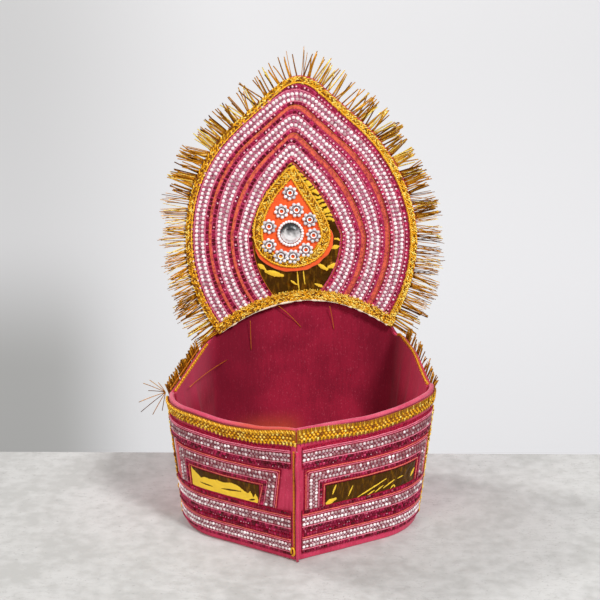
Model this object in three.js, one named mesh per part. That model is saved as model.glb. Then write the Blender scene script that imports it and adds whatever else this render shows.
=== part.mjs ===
// A mukut crown: a low padded band with a ridge at the front, a lined back wall, and a tall leaf that
// stands up behind, trimmed with stone galloon, gold braid, foil and a tinsel fringe.
// Millimetres, +Z up, the front towards -Y, the origin under the middle of the crown's box.
import * as THREE from "three";

const { clamp, degToRad, lerp, smoothstep } = THREE.MathUtils;

// The band's plan at the base, seen from above
const SEAM_X = 80.5; // half the width, at the side seams
const SEAM_Y = -12;
const RIDGE_Y = -86;
const RIDGE_DEG = 30; // how far each front panel sweeps back from the ridge
const RIDGE_SWAY = -2; // the ridge stands a little to the left
const SIDE_DEG = 14; // how far each side wall leans in from its seam
const CORNER_R = 15;
const BACK_Y = 72;
const BACK_R = 190;
const FLARE = 0.00128; // growth of the plan for each millimetre of height

// Heights of the band
const RIM_RIDGE = 97.5;
const RIM_SEAM = 90;
const RIM_FALL = 1.5; // power of the rim's fall from the ridge to the seam
const RIM_SAG = { depth: 3.9, full: 30, from: 46, to: 78 }; // the left rim sags past the ridge
const RIM_KICK = { height: 7, from: 42, to: 92 }; // the right rim turns up towards its seam
const RIM_SHARE = 1.5; // power by which the trims below follow the rim
const WALL_SEAM = { left: 88, right: 94 };
const WALL_CORNER = 96;
const LAP = 7; // how far the back wall reaches up behind the leaf

// Thicknesses
const GAP = 0.3;
const LAP_GAP = 0.7; // between the lining and the leaf, whose facets differ
const PANEL_WALL = 3.5;
const WALL = 3;
const LINING = 1.2;
const LEAF = 3;
const FOIL = 0.5;
const FELT = 1.5;
const LINING_IN = WALL + GAP; // depths inside the wall's outer face
const LEAF_FACE = LINING_IN + LINING + LAP_GAP + LEAF;

// The leaf's outline, in x and height
const LEAF_HALF = 81.5;
const LEAF_WAIST = 174; // height of its widest place
const LEAF_UPPER_R = 106;
const LEAF_LOWER_R = 118;
const LEAF_FLANK_DEG = 40.8; // slope of the straight flanks under the tip
const LEAF_TIP_R = 20;
const ARCH_MID = 126.5; // height of the arched foot at its middle
const ARCH_HALF = 63.5;
const ARCH_RISE = 20.3;
const ARCH_TILT = 0.07; // the leaf sits a little lower on the left

// Trims on the leaf: the stone galloons sit closer together on the left
const BRAID_W = 7;
const ARCH_BRAID_W = 6.5;
const ARCH_END = 1; // the arch braid ends just inside the outline
const TRIM_SPACE = 0.9; // bare cloth between trims, for the coral ribbon
const LEAF_PITCH = { left: 13.4, right: 15.2 };
const LEAF_TRIMS = ["outer", "middle", "inner"];

// Trims on the front panels, as heights at the ridge and distances from the ridge
const GALLOON_W = 14.4;
const GALLOON_START = 3.6;
const GALLOON_END = 10; // from the side seam
const PANEL_ROWS = [
  { name: "top", low: 68.5 },
  { name: "lower", low: 22.1 },
  { name: "bottom", low: 5 },
];
const FRAME = { low: 37.6, high: 67.3, lift: 0.2 };
const FRAME_RUN = {
  left: { from: 12, to: 94 },
  right: { from: 5, to: 101.5 },
};
const FOIL_MARGIN = 0.6;
const LACE = { low: 84.4, high: 95.5, from: 1.4 };
const ROLL_R = 2;
const ROLL_IN = 2.2;
const RIDGE_FOLD = { r: 1.1, low: 0.5, high: 82 };
const RIDGE_CORD = { r: 0.6, s: 1.9, low: 6, high: 82 };
const SIDE_BRAID = { width: 3.6, inset: 5.4, low: 4, high: 84, flat: 0.5 };
const EDGE_CORD = { r: 0.9, from: 3, to: 70 };

// Raised sections of the trims: across from the outer edge, and lift off the cloth
const GALLOON = [
  { across: 0, lift: 1.2 },
  { across: 0.24, lift: 2 },
  { across: 0.76, lift: 2 },
  { across: 1, lift: 1.2 },
];
const BRAID = [
  { across: 0, lift: 1 },
  { across: 0.3, lift: 2.1 },
  { across: 0.7, lift: 2.1 },
  { across: 1, lift: 1 },
];

// The felt drop and the jewels on it, in x and height
const DROP = { x: -7, z: 174.5, r: 26.8, tip: 47, shoulderDeg: 28, bulge: 0.62 };
const DROP_BRAID = { outer: 0.95, inner: 0.82 };
const JEWEL = { x: -8, z: 174.7, r: 7.3, ringR: 9.5, girdle: 1, height: 3.2, table: 0.62, sides: 16 };
const RING = { beads: 16, height: 2.2, lobe: 0.05 };
const FLOWER = { r: 4.4, hole: 1.4, petals: 8, lobe: 0.05, height: 1.8 };
const FLOWER_RING_R = 16;
const FLOWER_DEG = [111, 73.5, 33, -7, -46, -83, -119, -155, -198.5];
const TOP_FLOWER = { x: -7.5, z: 203 };

// Vertical folds of the lining: distance from the side seam, half width and depth
const FOLDS = [
  { side: -1, at: 10, half: 7, depth: 2 },
  { side: -1, at: 33, half: 10, depth: 2.4 },
  { side: 1, at: 12, half: 7, depth: 1.8 },
  { side: 1, at: 30, half: 8, depth: 2.2 },
  { side: 1, at: 50, half: 8, depth: 1.6 },
];

// Tinsel: the sections of one lock across its cell, and its length
const LOCK = [
  { across: 0.04, reach: 0.3 },
  { across: 0.16, reach: 1 },
  { across: 0.84, reach: 1 },
  { across: 0.96, reach: 0.3 },
];
const LEAF_FRINGE = { length: 19, locks: 15, foot: 1.8, tip: 0.8 };
const LEAF_FRINGE_RUNS = [
  { name: "lower", from: 0.06, to: 0.53 },
  { name: "upper", from: 0.53, to: 0.995 },
];
const SIDE_FRINGE = { length: 14, locks: 10, foot: 1.2, tip: 0.7, below: 8, flare: 2.5, from: 4, to: 66 };
const LENGTH_SPREAD = 0.12; // how much the locks differ in length

const NEAR_TIP = 0.985; // sheets stop just short of a sharp tip
const NEAR_FOOT = 0.06;
const LINING_HEM = 1;
const LINING_START = 2; // from the side seam
const FOLD_HANG = 4; // power by which the folds fade towards the top edge
const ROLL_START = 6; // first point of the rolled hem past the ridge
const LOCK_BEAT = 2.4; // turn between the lengths of neighbouring locks
const TANGENT_STEP = 0.003;
const HALVINGS = 40;

// Steps along the curves
const STEPS = {
  panel: 24,
  panelTrim: 12,
  frameTop: 13,
  sideBraid: 4,
  roll: 14,
  rollBar: 56,
  wallSide: 3,
  liningSide: 15,
  liningUp: 3,
  corner: 4,
  back: 8,
  cord: 9,
  cordBar: 10,
  plateUp: 17,
  plateAcross: 10,
  foilUp: 10,
  foilAcross: 4,
  braid: 18,
  arch: 14,
  galloon: 17,
  feltUp: 13,
  feltAcross: 4,
  dropBraid: 14,
  lobe: 3,
};
const BAR_SIDES = 8;
const CORD_SIDES = 6;

const FINISH = {
  cloth: { color: 0xc64a6c, roughness: 0.8, metalness: 0 },
  lining: { color: 0x9c2446, roughness: 0.85, metalness: 0 },
  gold: { color: 0xd9a21c, roughness: 0.38, metalness: 0.8 },
  tinsel: { color: 0xa9772a, roughness: 0.3, metalness: 0.9 },
  galloon: { color: 0xc79ab4, roughness: 0.3, metalness: 0.1 },
  foil: { color: 0x8f7414, roughness: 0.12, metalness: 1 },
  felt: { color: 0xee6420, roughness: 0.95, metalness: 0 },
  crystal: { color: 0xe9e6ee, roughness: 0.12, metalness: 0.2 },
  mirror: { color: 0xd6d8da, roughness: 0.05, metalness: 1 },
};

const SIDES = [
  { name: "left", side: -1 },
  { name: "right", side: 1 },
];

const crown = new THREE.Group();
const body = new THREE.Group();
crown.add(body);

/** Adds a named mesh with a finish of its own to the crown. */
function piece(name, geometry, finish) {
  const mesh = new THREE.Mesh(geometry, new THREE.MeshStandardMaterial(finish));
  mesh.name = name;
  body.add(mesh);
  return mesh;
}

/** Numbers from a to b in equal steps, both ends included. */
function spread(a, b, steps) {
  return Array.from({ length: steps + 1 }, (_, i) => lerp(a, b, i / steps));
}

// Solids from sections

/** A closed geometry from points and triangles, turned so that its faces point out. */
function solid(points, triangles) {
  const cross = new THREE.Vector3();
  const volume = triangles.reduce(
    (sum, [a, b, c]) => sum + points[a].dot(cross.crossVectors(points[b], points[c])),
    0,
  );
  const faces = volume < 0 ? triangles.map(([a, b, c]) => [a, c, b]) : triangles;
  const geometry = new THREE.BufferGeometry().setFromPoints(points);
  geometry.setIndex(faces.flat());
  geometry.computeVertexNormals();
  return geometry;
}

/** A skin through rings of equal count, closed by flat ends or, if joined, end to end. */
function loft(rings, joined = false) {
  const n = rings[0].length;
  const spans = joined ? rings.length : rings.length - 1;
  const triangles = [];
  for (let i = 0; i < spans; i++) {
    const here = i * n;
    const next = ((i + 1) % rings.length) * n;
    for (let k = 0; k < n; k++) {
      const m = (k + 1) % n;
      triangles.push([here + k, next + k, next + m], [here + k, next + m, here + m]);
    }
  }
  if (!joined) {
    const end = spans * n;
    for (let k = 1; k < n - 1; k++) {
      triangles.push([0, k, k + 1], [end, end + k + 1, end + k]);
    }
  }
  return solid(rings.flat(), triangles);
}

/** A sheet between two grids of points that match row by row. */
function slab(front, back) {
  const rows = front.length;
  const cols = front[0].length;
  const at = (layer, r, c) => (layer * rows + r) * cols + c;
  const triangles = [];
  for (let r = 0; r < rows - 1; r++) {
    for (let c = 0; c < cols - 1; c++) {
      triangles.push([at(0, r, c), at(0, r, c + 1), at(0, r + 1, c + 1)]);
      triangles.push([at(0, r, c), at(0, r + 1, c + 1), at(0, r + 1, c)]);
      triangles.push([at(1, r, c), at(1, r + 1, c + 1), at(1, r, c + 1)]);
      triangles.push([at(1, r, c), at(1, r + 1, c), at(1, r + 1, c + 1)]);
    }
  }
  const edge = [];
  for (let c = 0; c < cols - 1; c++) edge.push([0, c]);
  for (let r = 0; r < rows - 1; r++) edge.push([r, cols - 1]);
  for (let c = cols - 1; c > 0; c--) edge.push([rows - 1, c]);
  for (let r = rows - 1; r > 0; r--) edge.push([r, 0]);
  edge.forEach(([r, c], i) => {
    const [r2, c2] = edge[(i + 1) % edge.length];
    triangles.push([at(0, r2, c2), at(0, r, c), at(1, r, c)]);
    triangles.push([at(0, r2, c2), at(1, r, c), at(1, r2, c2)]);
  });
  return solid([...front.flat(), ...back.flat()], triangles);
}

/**
 * A raised trim between two edges that lie on a surface. Its section and its underside are given across
 * from the outer edge, and base is the lift of the layer that it lies on.
 */
function ribbon(outer, inner, place, section, { base = 0, underside = [0, 1], joined = false } = {}) {
  const rings = outer.map((edge, i) => {
    const at = (across, lift) => place(edge.clone().lerp(inner[i], across), base + lift);
    return [
      ...section.map(({ across, lift }) => at(across, lift)),
      ...underside.toReversed().map((across) => at(across, GAP)),
    ];
  });
  return loft(rings, joined);
}

/** A round bar along a curve through some points. */
function bar(points, radius, steps, sides = BAR_SIDES) {
  const ring = spread(0, 2 * Math.PI, sides).slice(1);
  const section = new THREE.Shape(
    ring.map((a) => new THREE.Vector2(radius * Math.cos(a), radius * Math.sin(a))),
  );
  const extrudePath = new THREE.CatmullRomCurve3(points, false, "centripetal");
  return new THREE.ExtrudeGeometry(section, { steps, extrudePath, bevelEnabled: false });
}

// The band

const grow = (z) => 1 + FLARE * z;
const turn = degToRad(RIDGE_DEG);
const panelReach = SEAM_Y - RIDGE_Y;
const panelStraight = (SEAM_X * Math.cos(turn)) / (1 - Math.sin(turn)) - panelReach;
const panelBendR = (panelReach * Math.cos(turn) - SEAM_X * Math.sin(turn)) / (1 - Math.sin(turn));
const panelPlan = new THREE.Path()
  .moveTo(0, RIDGE_Y)
  .lineTo(panelStraight * Math.cos(turn), RIDGE_Y + panelStraight * Math.sin(turn))
  .absarc(SEAM_X - panelBendR, SEAM_Y, panelBendR, turn - Math.PI / 2, 0);
const PANEL = panelPlan.getLength();

// The side run ends where the corner's circle touches the back's circle from inside.
const lean = degToRad(SIDE_DEG);
const sideDir = new THREE.Vector2(-Math.sin(lean), Math.cos(lean));
const backCentre = new THREE.Vector2(0, BACK_Y - BACK_R);
const cornerStart = new THREE.Vector2(SEAM_X, SEAM_Y)
  .addScaledVector(new THREE.Vector2(Math.cos(lean), Math.sin(lean)), -CORNER_R)
  .sub(backCentre);
const halfB = cornerStart.dot(sideDir);
const SIDE_RUN = Math.sqrt(halfB ** 2 - cornerStart.lengthSq() + (BACK_R - CORNER_R) ** 2) - halfB;
const cornerCentre = cornerStart.clone().addScaledVector(sideDir, SIDE_RUN);
const cornerEnd = cornerCentre.angle();
cornerCentre.add(backCentre);
const backPlan = new THREE.Path()
  .moveTo(SEAM_X, SEAM_Y)
  .lineTo(SEAM_X + sideDir.x * SIDE_RUN, SEAM_Y + sideDir.y * SIDE_RUN)
  .absarc(cornerCentre.x, cornerCentre.y, CORNER_R, lean, cornerEnd)
  .absarc(backCentre.x, backCentre.y, BACK_R, cornerEnd, Math.PI / 2);
const BACK = backPlan.getLength();
const CORNER_RUN = SIDE_RUN + CORNER_R * (cornerEnd - lean);

/** A point of the band: s along a plan from its start, at height z, lifted off the outer face. */
function bandPoint(plan, side, s, z, lift) {
  const t = clamp(s / plan.getLength(), 0, 1);
  const foot = plan.getPoint(t);
  const along = plan.getTangent(t);
  const sway = plan === panelPlan ? RIDGE_SWAY * (1 - t) : 0;
  const x = side * (foot.x * grow(z) + along.y * lift) + sway;
  return new THREE.Vector3(x, foot.y * grow(z) - along.x * lift, z);
}

/** Height of the front rim at a distance from the ridge. */
function rimHeight(side, s) {
  const fall = lerp(RIM_RIDGE, RIM_SEAM, (s / PANEL) ** RIM_FALL);
  if (side > 0) return fall + RIM_KICK.height * smoothstep(s, RIM_KICK.from, RIM_KICK.to);
  const sag = smoothstep(s, 0, RIM_SAG.full) * (1 - smoothstep(s, RIM_SAG.from, RIM_SAG.to));
  return fall - RIM_SAG.depth * sag;
}

/** A point on a front panel: heights are those at the ridge, and follow the rim along the panel. */
function panelPoint(side, s, h, lift) {
  const shift = rimHeight(side, clamp(s, 0, PANEL)) - RIM_RIDGE;
  return bandPoint(panelPlan, side, s, h + shift * (h / RIM_RIDGE) ** RIM_SHARE, lift);
}

/** A front panel, mitred at the ridge, with its top just under the rolled hem. */
function frontPanel(side) {
  const rings = spread(GAP, PANEL, STEPS.panel).map((s) => {
    const inside = s + PANEL_WALL * Math.tan(turn) * (1 - s / PANEL);
    const top = rimHeight(side, s) - 2 * ROLL_R - GAP;
    return [
      bandPoint(panelPlan, side, s, 0, 0),
      bandPoint(panelPlan, side, s, top, 0),
      bandPoint(panelPlan, side, inside, top, -PANEL_WALL),
      bandPoint(panelPlan, side, inside, 0, -PANEL_WALL),
    ];
  });
  return loft(rings);
}

/** Height of the leaf's arched foot. */
const archHeight = (x) => ARCH_MID + ARCH_TILT * x - ARCH_RISE * (x / ARCH_HALF) ** 2;

/** Height of the back wall's top edge: up the side, then up behind the leaf. */
function wallTop(side, s) {
  const seam = side > 0 ? WALL_SEAM.right : WALL_SEAM.left;
  if (s <= SIDE_RUN) return lerp(seam, WALL_CORNER, s / SIDE_RUN);
  const behindLeaf = (at) => archHeight(side * backPlan.getPoint(at / BACK).x * grow(ARCH_MID)) + LAP;
  if (s >= CORNER_RUN) return behindLeaf(s);
  const round = (s - SIDE_RUN) / (CORNER_RUN - SIDE_RUN);
  return lerp(WALL_CORNER, behindLeaf(CORNER_RUN), round ** 2);
}

/** Distances along the back plan from a start near the right seam round to the left, with their sides. */
function backStops(start, sideSteps) {
  const half = [
    ...spread(start, SIDE_RUN, sideSteps),
    ...spread(SIDE_RUN, CORNER_RUN, STEPS.corner).slice(1),
    ...spread(CORNER_RUN, BACK, STEPS.back).slice(1),
  ];
  const right = half.map((s) => ({ side: 1, s }));
  const left = half.slice(0, -1).map((s) => ({ side: -1, s }));
  return [...right, ...left.reverse()];
}

/** The back wall, mitred to the front panels at the side seams. */
function backWall() {
  const rings = backStops(GAP, STEPS.wallSide).map(({ side, s }) => {
    const inside = s + WALL * Math.tan(lean) * Math.max(0, 1 - s / SIDE_RUN);
    const top = wallTop(side, s);
    return [
      bandPoint(backPlan, side, s, 0, 0),
      bandPoint(backPlan, side, s, top, 0),
      bandPoint(backPlan, side, inside, top, -WALL),
      bandPoint(backPlan, side, inside, 0, -WALL),
    ];
  });
  return loft(rings);
}

/** How far the lining's folds stand in at a place; up is 0 at the base and 1 at the top. */
function foldDepth(side, s, up) {
  const hang = 1 - up ** FOLD_HANG;
  return FOLDS.filter((fold) => fold.side === side)
    .map(({ at, half, depth }) => depth * Math.exp(-(((s - at) / half) ** 2) * 4) * hang)
    .reduce((sum, depth) => sum + depth, 0);
}

/** The lining, a sheet just inside the back wall. */
function backLining() {
  const sheet = (depth) =>
    spread(0, 1, STEPS.liningUp).map((up) =>
      backStops(LINING_START, STEPS.liningSide).map(({ side, s }) => {
        const z = lerp(LINING_HEM, wallTop(side, s), up);
        return bandPoint(backPlan, side, s, z, -LINING_IN - depth - foldDepth(side, s, up));
      }),
    );
  return slab(sheet(LINING), sheet(0));
}

piece("back_wall", backWall(), FINISH.cloth);
piece("back_lining", backLining(), FINISH.lining);

const rollPoint = (side, s) => bandPoint(panelPlan, side, s, rimHeight(side, s) - ROLL_R, -ROLL_IN);
const rollHalf = (side) =>
  spread(ROLL_START, PANEL - GAP, STEPS.roll).map((s) => rollPoint(side, s));
const ridgeAt = (z, lift) => new THREE.Vector3(RIDGE_SWAY, RIDGE_Y * grow(z) - lift, z);
const rollRidge = ridgeAt(RIM_RIDGE - ROLL_R, -ROLL_IN / Math.cos(turn));
const rollLine = [...rollHalf(-1).reverse(), rollRidge, ...rollHalf(1)];
piece("rim_roll", bar(rollLine, ROLL_R, STEPS.rollBar), FINISH.cloth);

const foldEnds = [RIDGE_FOLD.low, RIDGE_FOLD.high].map((z) => ridgeAt(z, RIDGE_FOLD.r + GAP));
piece("ridge_fold", bar(foldEnds, RIDGE_FOLD.r, 1), FINISH.cloth);
const cordEnds = [RIDGE_CORD.low, RIDGE_CORD.high].map((h) =>
  panelPoint(-1, RIDGE_CORD.s, h, RIDGE_CORD.r + GAP),
);
piece("ridge_cord", bar(cordEnds, RIDGE_CORD.r, 1), FINISH.gold);

// Trims on the front panels

/** A straight galloon or lace along a panel, between two heights. */
function panelTrim(side, low, high, from, to, section) {
  const place = (p, lift) => panelPoint(side, p.x, p.y, lift);
  const run = spread(from, to, STEPS.panelTrim);
  const edge = (h) => run.map((s) => new THREE.Vector2(s, h));
  return ribbon(edge(high), edge(low), place, section);
}

/** The galloon that frames a foil window: up the inner leg, along the top and down the outer leg. */
function panelFrame(side, { from, to }) {
  const place = (p, lift) => panelPoint(side, p.x, p.y, lift + FRAME.lift);
  const legs = (inset) => {
    const run = spread(from + inset, to - inset, STEPS.frameTop);
    const top = run.map((s) => new THREE.Vector2(s, FRAME.high - inset));
    return [
      new THREE.Vector2(from + inset, FRAME.low),
      ...top,
      new THREE.Vector2(to - inset, FRAME.low),
    ];
  };
  const underside = GALLOON.map(({ across }) => across);
  return ribbon(legs(0), legs(GALLOON_W), place, GALLOON, { underside });
}

/** The foil window inside a frame. */
function panelFoil(side, { from, to }) {
  const inset = GALLOON_W + FOIL_MARGIN;
  const sheet = (lift) =>
    [FRAME.low + FOIL_MARGIN, FRAME.high - inset].map((h) =>
      spread(from + inset, to - inset, STEPS.panelTrim).map((s) => panelPoint(side, s, h, lift)),
    );
  return slab(sheet(GAP + FOIL), sheet(GAP));
}

/** The thin braid down a side seam. */
function sideBraid(side) {
  const place = (p, lift) => panelPoint(side, p.x, p.y, lerp(GAP, lift, SIDE_BRAID.flat));
  const run = spread(SIDE_BRAID.low, SIDE_BRAID.high, STEPS.sideBraid);
  const edge = (inset) => run.map((h) => new THREE.Vector2(PANEL - inset, h));
  return ribbon(edge(SIDE_BRAID.inset), edge(SIDE_BRAID.inset + SIDE_BRAID.width), place, BRAID);
}

/** The gold cord on the top edge of the back wall, over the lining's edge. */
function edgeCord(side) {
  const points = spread(EDGE_CORD.from, EDGE_CORD.to, STEPS.cord).map((s) => {
    const z = wallTop(side, s) + GAP + EDGE_CORD.r;
    return bandPoint(backPlan, side, s, z, -LINING_IN);
  });
  return bar(points, EDGE_CORD.r, STEPS.cordBar, CORD_SIDES);
}

SIDES.forEach(({ name, side }) => {
  piece(`front_panel_${name}`, frontPanel(side), FINISH.cloth);
  PANEL_ROWS.forEach(({ name: row, low }) => {
    const trim = panelTrim(side, low, low + GALLOON_W, GALLOON_START, PANEL - GALLOON_END, GALLOON);
    piece(`galloon_${row}_${name}`, trim, FINISH.galloon);
  });
  piece(`galloon_frame_${name}`, panelFrame(side, FRAME_RUN[name]), FINISH.galloon);
  piece(`front_foil_${name}`, panelFoil(side, FRAME_RUN[name]), FINISH.foil);
  piece(`rim_lace_${name}`, panelTrim(side, LACE.low, LACE.high, LACE.from, PANEL, BRAID), FINISH.gold);
  piece(`side_braid_${name}`, sideBraid(side), FINISH.gold);
  piece(`edge_cord_${name}`, edgeCord(side), FINISH.gold);
});

// The leaf

const flank = degToRad(LEAF_FLANK_DEG);
const flankNormal = Math.PI / 2 - flank;
const upperX = LEAF_HALF - LEAF_UPPER_R;
const lowerX = LEAF_HALF - LEAF_LOWER_R;
const sharpTip =
  LEAF_WAIST +
  LEAF_UPPER_R * Math.sin(flankNormal) +
  (upperX + LEAF_UPPER_R * Math.cos(flankNormal)) * Math.tan(flank);
const archTop = (x) => archHeight(x) + ARCH_BRAID_W + GAP;

/** A point on the leaf: x and height, lifted off its front face. */
function leafPoint(p, lift) {
  const g = grow(p.y);
  const wall = g * (BACK_Y - BACK_R) + Math.sqrt((g * BACK_R) ** 2 - p.x ** 2);
  return new THREE.Vector3(p.x, wall - LEAF_FACE - lift, p.y);
}

/** Angle on the lower side's circle where it comes up out of the foot line. */
function footAngle(side, radius, foot) {
  let below = -Math.PI / 3;
  let above = 0;
  for (let i = 0; i < HALVINGS; i++) {
    const mid = (below + above) / 2;
    const z = LEAF_WAIST + radius * Math.sin(mid);
    if (z > foot(side * (lowerX + radius * Math.cos(mid)))) above = mid;
    else below = mid;
  }
  return above;
}

/** Half of the leaf's outline moved in by inset, as a function from 0 at the foot line to 1 at the tip. */
function leafHalf(side, inset, tipX, foot) {
  const lowerR = LEAF_LOWER_R - inset;
  const half = new THREE.Path()
    .absarc(lowerX, LEAF_WAIST, lowerR, footAngle(side, lowerR, foot), 0)
    .absarc(upperX, LEAF_WAIST, LEAF_UPPER_R - inset, 0, flankNormal);
  if (inset < LEAF_TIP_R) {
    const tipCentre = sharpTip - LEAF_TIP_R / Math.cos(flank);
    half.absarc(0, tipCentre, LEAF_TIP_R - inset, flankNormal, Math.PI / 2);
  } else {
    half.lineTo(side * tipX, sharpTip - inset / Math.cos(flank) - side * tipX * Math.tan(flank));
  }
  return (t) => {
    const p = half.getPoint(t);
    return new THREE.Vector2(side * p.x, p.y);
  };
}

/** Both halves of an outline whose insets may differ, so that its tip stands off the middle. */
function leafHalves(inset, foot) {
  const tipX = (inset.left - inset.right) / (2 * Math.sin(flank));
  return {
    left: leafHalf(-1, inset.left, tipX, foot),
    right: leafHalf(1, inset.right, tipX, foot),
  };
}

/** An outline as points from its left foot over the tip to its right foot. */
function leafEdge(inset, foot, steps) {
  const { left, right } = leafHalves(inset, foot);
  return [...spread(0, 1, steps).map(left), ...spread(1, 0, steps).slice(1).map(right)];
}

/** A sheet that fills an outline above a foot line, between two lifts. */
function leafSheet(inset, foot, low, high, { rows, cols }) {
  const { left, right } = leafHalves(inset, foot);
  const feet = [left(0), right(0)];
  const bow = (across) => {
    const p = feet[0].clone().lerp(feet[1], across);
    return foot(p.x) - p.y;
  };
  const sheet = (lift) =>
    spread(0, NEAR_TIP, rows).map((t) =>
      spread(0, 1, cols).map((across) => {
        const p = left(t).lerp(right(t), across);
        p.y += bow(across) * (1 - t) ** 2;
        return leafPoint(p, lift);
      }),
    );
  return slab(sheet(high), sheet(low));
}

const PLATE_GRID = { rows: STEPS.plateUp, cols: STEPS.plateAcross };
const FOIL_GRID = { rows: STEPS.foilUp, cols: STEPS.foilAcross };
const evenInset = (inset) => ({ left: inset, right: inset });
const trimInset = (row, extra = 0) => ({
  left: BRAID_W + GAP + row * LEAF_PITCH.left + extra,
  right: BRAID_W + GAP + row * LEAF_PITCH.right + extra,
});

piece("leaf_plate", leafSheet(evenInset(0), archHeight, -LEAF, 0, PLATE_GRID), FINISH.cloth);
const braidEdges = [GAP, BRAID_W].map((inset) => leafEdge(evenInset(inset), archTop, STEPS.braid));
piece("leaf_braid", ribbon(...braidEdges, leafPoint, BRAID), FINISH.gold);

const archEnds = leafHalves(evenInset(ARCH_END), archTop);
const archRun = spread(archEnds.left(0).x, archEnds.right(0).x, STEPS.arch);
const archEdge = (rise) => archRun.map((x) => new THREE.Vector2(x, archHeight(x) + rise));
piece("arch_braid", ribbon(archEdge(ARCH_BRAID_W), archEdge(GAP), leafPoint, BRAID), FINISH.gold);

LEAF_TRIMS.forEach((name, row) => {
  const outer = leafEdge(trimInset(row), archTop, STEPS.galloon);
  const inner = leafEdge(trimInset(row + 1, -TRIM_SPACE), archTop, STEPS.galloon);
  piece(`leaf_galloon_${name}`, ribbon(outer, inner, leafPoint, GALLOON), FINISH.galloon);
});

const foilInset = trimInset(LEAF_TRIMS.length);
piece("leaf_foil", leafSheet(foilInset, archTop, GAP, GAP + FOIL, FOIL_GRID), FINISH.foil);

// The felt drop and its jewels, in layers on the foil

const feltLow = 2 * GAP + FOIL;
const feltTop = feltLow + FELT;
const shoulder = degToRad(DROP.shoulderDeg);
const dropHalf = new THREE.Path()
  .absarc(0, 0, DROP.r, -Math.PI / 2, shoulder)
  .quadraticCurveTo(
    DROP.r * Math.cos(shoulder) * DROP.bulge,
    lerp(DROP.r * Math.sin(shoulder), DROP.tip, DROP.bulge),
    0,
    DROP.tip,
  );

/** A point on the drop's edge, from 0 at its bottom to 1 at its tip, at a scale about its middle. */
function dropPoint(side, t, scale) {
  const p = dropHalf.getPoint(t);
  return new THREE.Vector2(DROP.x + side * p.x * scale, DROP.z + p.y * scale);
}

/** The felt drop as rows across from its bottom to its tip. */
function feltDrop() {
  const sheet = (lift) =>
    spread(NEAR_FOOT, NEAR_TIP, STEPS.feltUp).map((t) =>
      spread(0, 1, STEPS.feltAcross).map((across) =>
        leafPoint(dropPoint(-1, t, 1).lerp(dropPoint(1, t, 1), across), lift),
      ),
    );
  return slab(sheet(feltTop), sheet(feltLow));
}

/** The drop's edge as a closed line, up the right side and down the left. */
function dropEdge(scale) {
  const right = spread(0, 1, STEPS.dropBraid).map((t) => dropPoint(1, t, scale));
  const left = spread(1, 0, STEPS.dropBraid).map((t) => dropPoint(-1, t, scale));
  return [...right, ...left.slice(1, -1)];
}

piece("felt_drop", feltDrop(), FINISH.felt);
const dropEdges = [DROP_BRAID.outer, DROP_BRAID.inner].map(dropEdge);
const dropBraid = ribbon(...dropEdges, leafPoint, BRAID, { base: feltTop, joined: true });
piece("felt_braid", dropBraid, FINISH.gold);

/** A ring of lobes, one for each bead, with a round hole. */
function lobedRing(radius, hole, beads, lobe, height) {
  const points = spread(0, 2 * Math.PI, beads * STEPS.lobe).slice(1);
  const edge = points.map((a) => {
    const r = radius * (1 + lobe * Math.cos(beads * a));
    return new THREE.Vector2(r * Math.cos(a), r * Math.sin(a));
  });
  const shape = new THREE.Shape(edge);
  const inside = spread(2 * Math.PI, 0, beads).slice(1);
  shape.holes.push(
    new THREE.Path(inside.map((a) => new THREE.Vector2(hole * Math.cos(a), hole * Math.sin(a)))),
  );
  return new THREE.ExtrudeGeometry(shape, { depth: height, bevelEnabled: false });
}

/** Seats a mesh that rises along its own +Z on the felt at a place. */
function seat(mesh, { x, z }) {
  const at = (dx, dz) => leafPoint(new THREE.Vector2(x + dx, z + dz), feltTop + GAP);
  const across = at(1, 0).sub(at(-1, 0)).normalize();
  const up = at(0, 1).sub(at(0, -1));
  const out = across.clone().cross(up).normalize();
  const basis = new THREE.Matrix4().makeBasis(across, out.clone().cross(across), out);
  mesh.position.copy(at(0, 0));
  mesh.quaternion.setFromRotationMatrix(basis);
}

const flowerPlaces = FLOWER_DEG.map((deg) => ({
  x: JEWEL.x + FLOWER_RING_R * Math.cos(degToRad(deg)),
  z: JEWEL.z + FLOWER_RING_R * Math.sin(degToRad(deg)),
}));
[TOP_FLOWER, ...flowerPlaces].forEach((place, i) => {
  const flower = lobedRing(FLOWER.r, FLOWER.hole, FLOWER.petals, FLOWER.lobe, FLOWER.height);
  seat(piece(`flower_${i + 1}`, flower, FINISH.crystal), place);
});

const ringR = JEWEL.ringR / (1 + RING.lobe);
const ring = lobedRing(ringR, JEWEL.r + GAP, RING.beads, RING.lobe, RING.height);
seat(piece("jewel_ring", ring, FINISH.crystal), JEWEL);

const stoneProfile = [
  new THREE.Vector2(0, 0),
  new THREE.Vector2(JEWEL.r, 0),
  new THREE.Vector2(JEWEL.r, JEWEL.girdle),
  new THREE.Vector2(JEWEL.r * JEWEL.table, JEWEL.height),
  new THREE.Vector2(0, JEWEL.height),
];
const stone = new THREE.LatheGeometry(stoneProfile, JEWEL.sides).rotateX(Math.PI / 2);
seat(piece("mirror_stone", stone, FINISH.mirror), JEWEL);

// The tinsel fringe

/** A run of locks fused side by side; ringAt gives the section at a place for a lock's own length. */
function locks(count, ringAt) {
  const rings = [];
  for (let i = 0; i < count; i++) {
    const length = 1 + LENGTH_SPREAD * Math.sin(i * LOCK_BEAT);
    LOCK.forEach(({ across, reach }) => rings.push(ringAt((i + across) / count, reach * length)));
  }
  return loft(rings);
}

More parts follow.
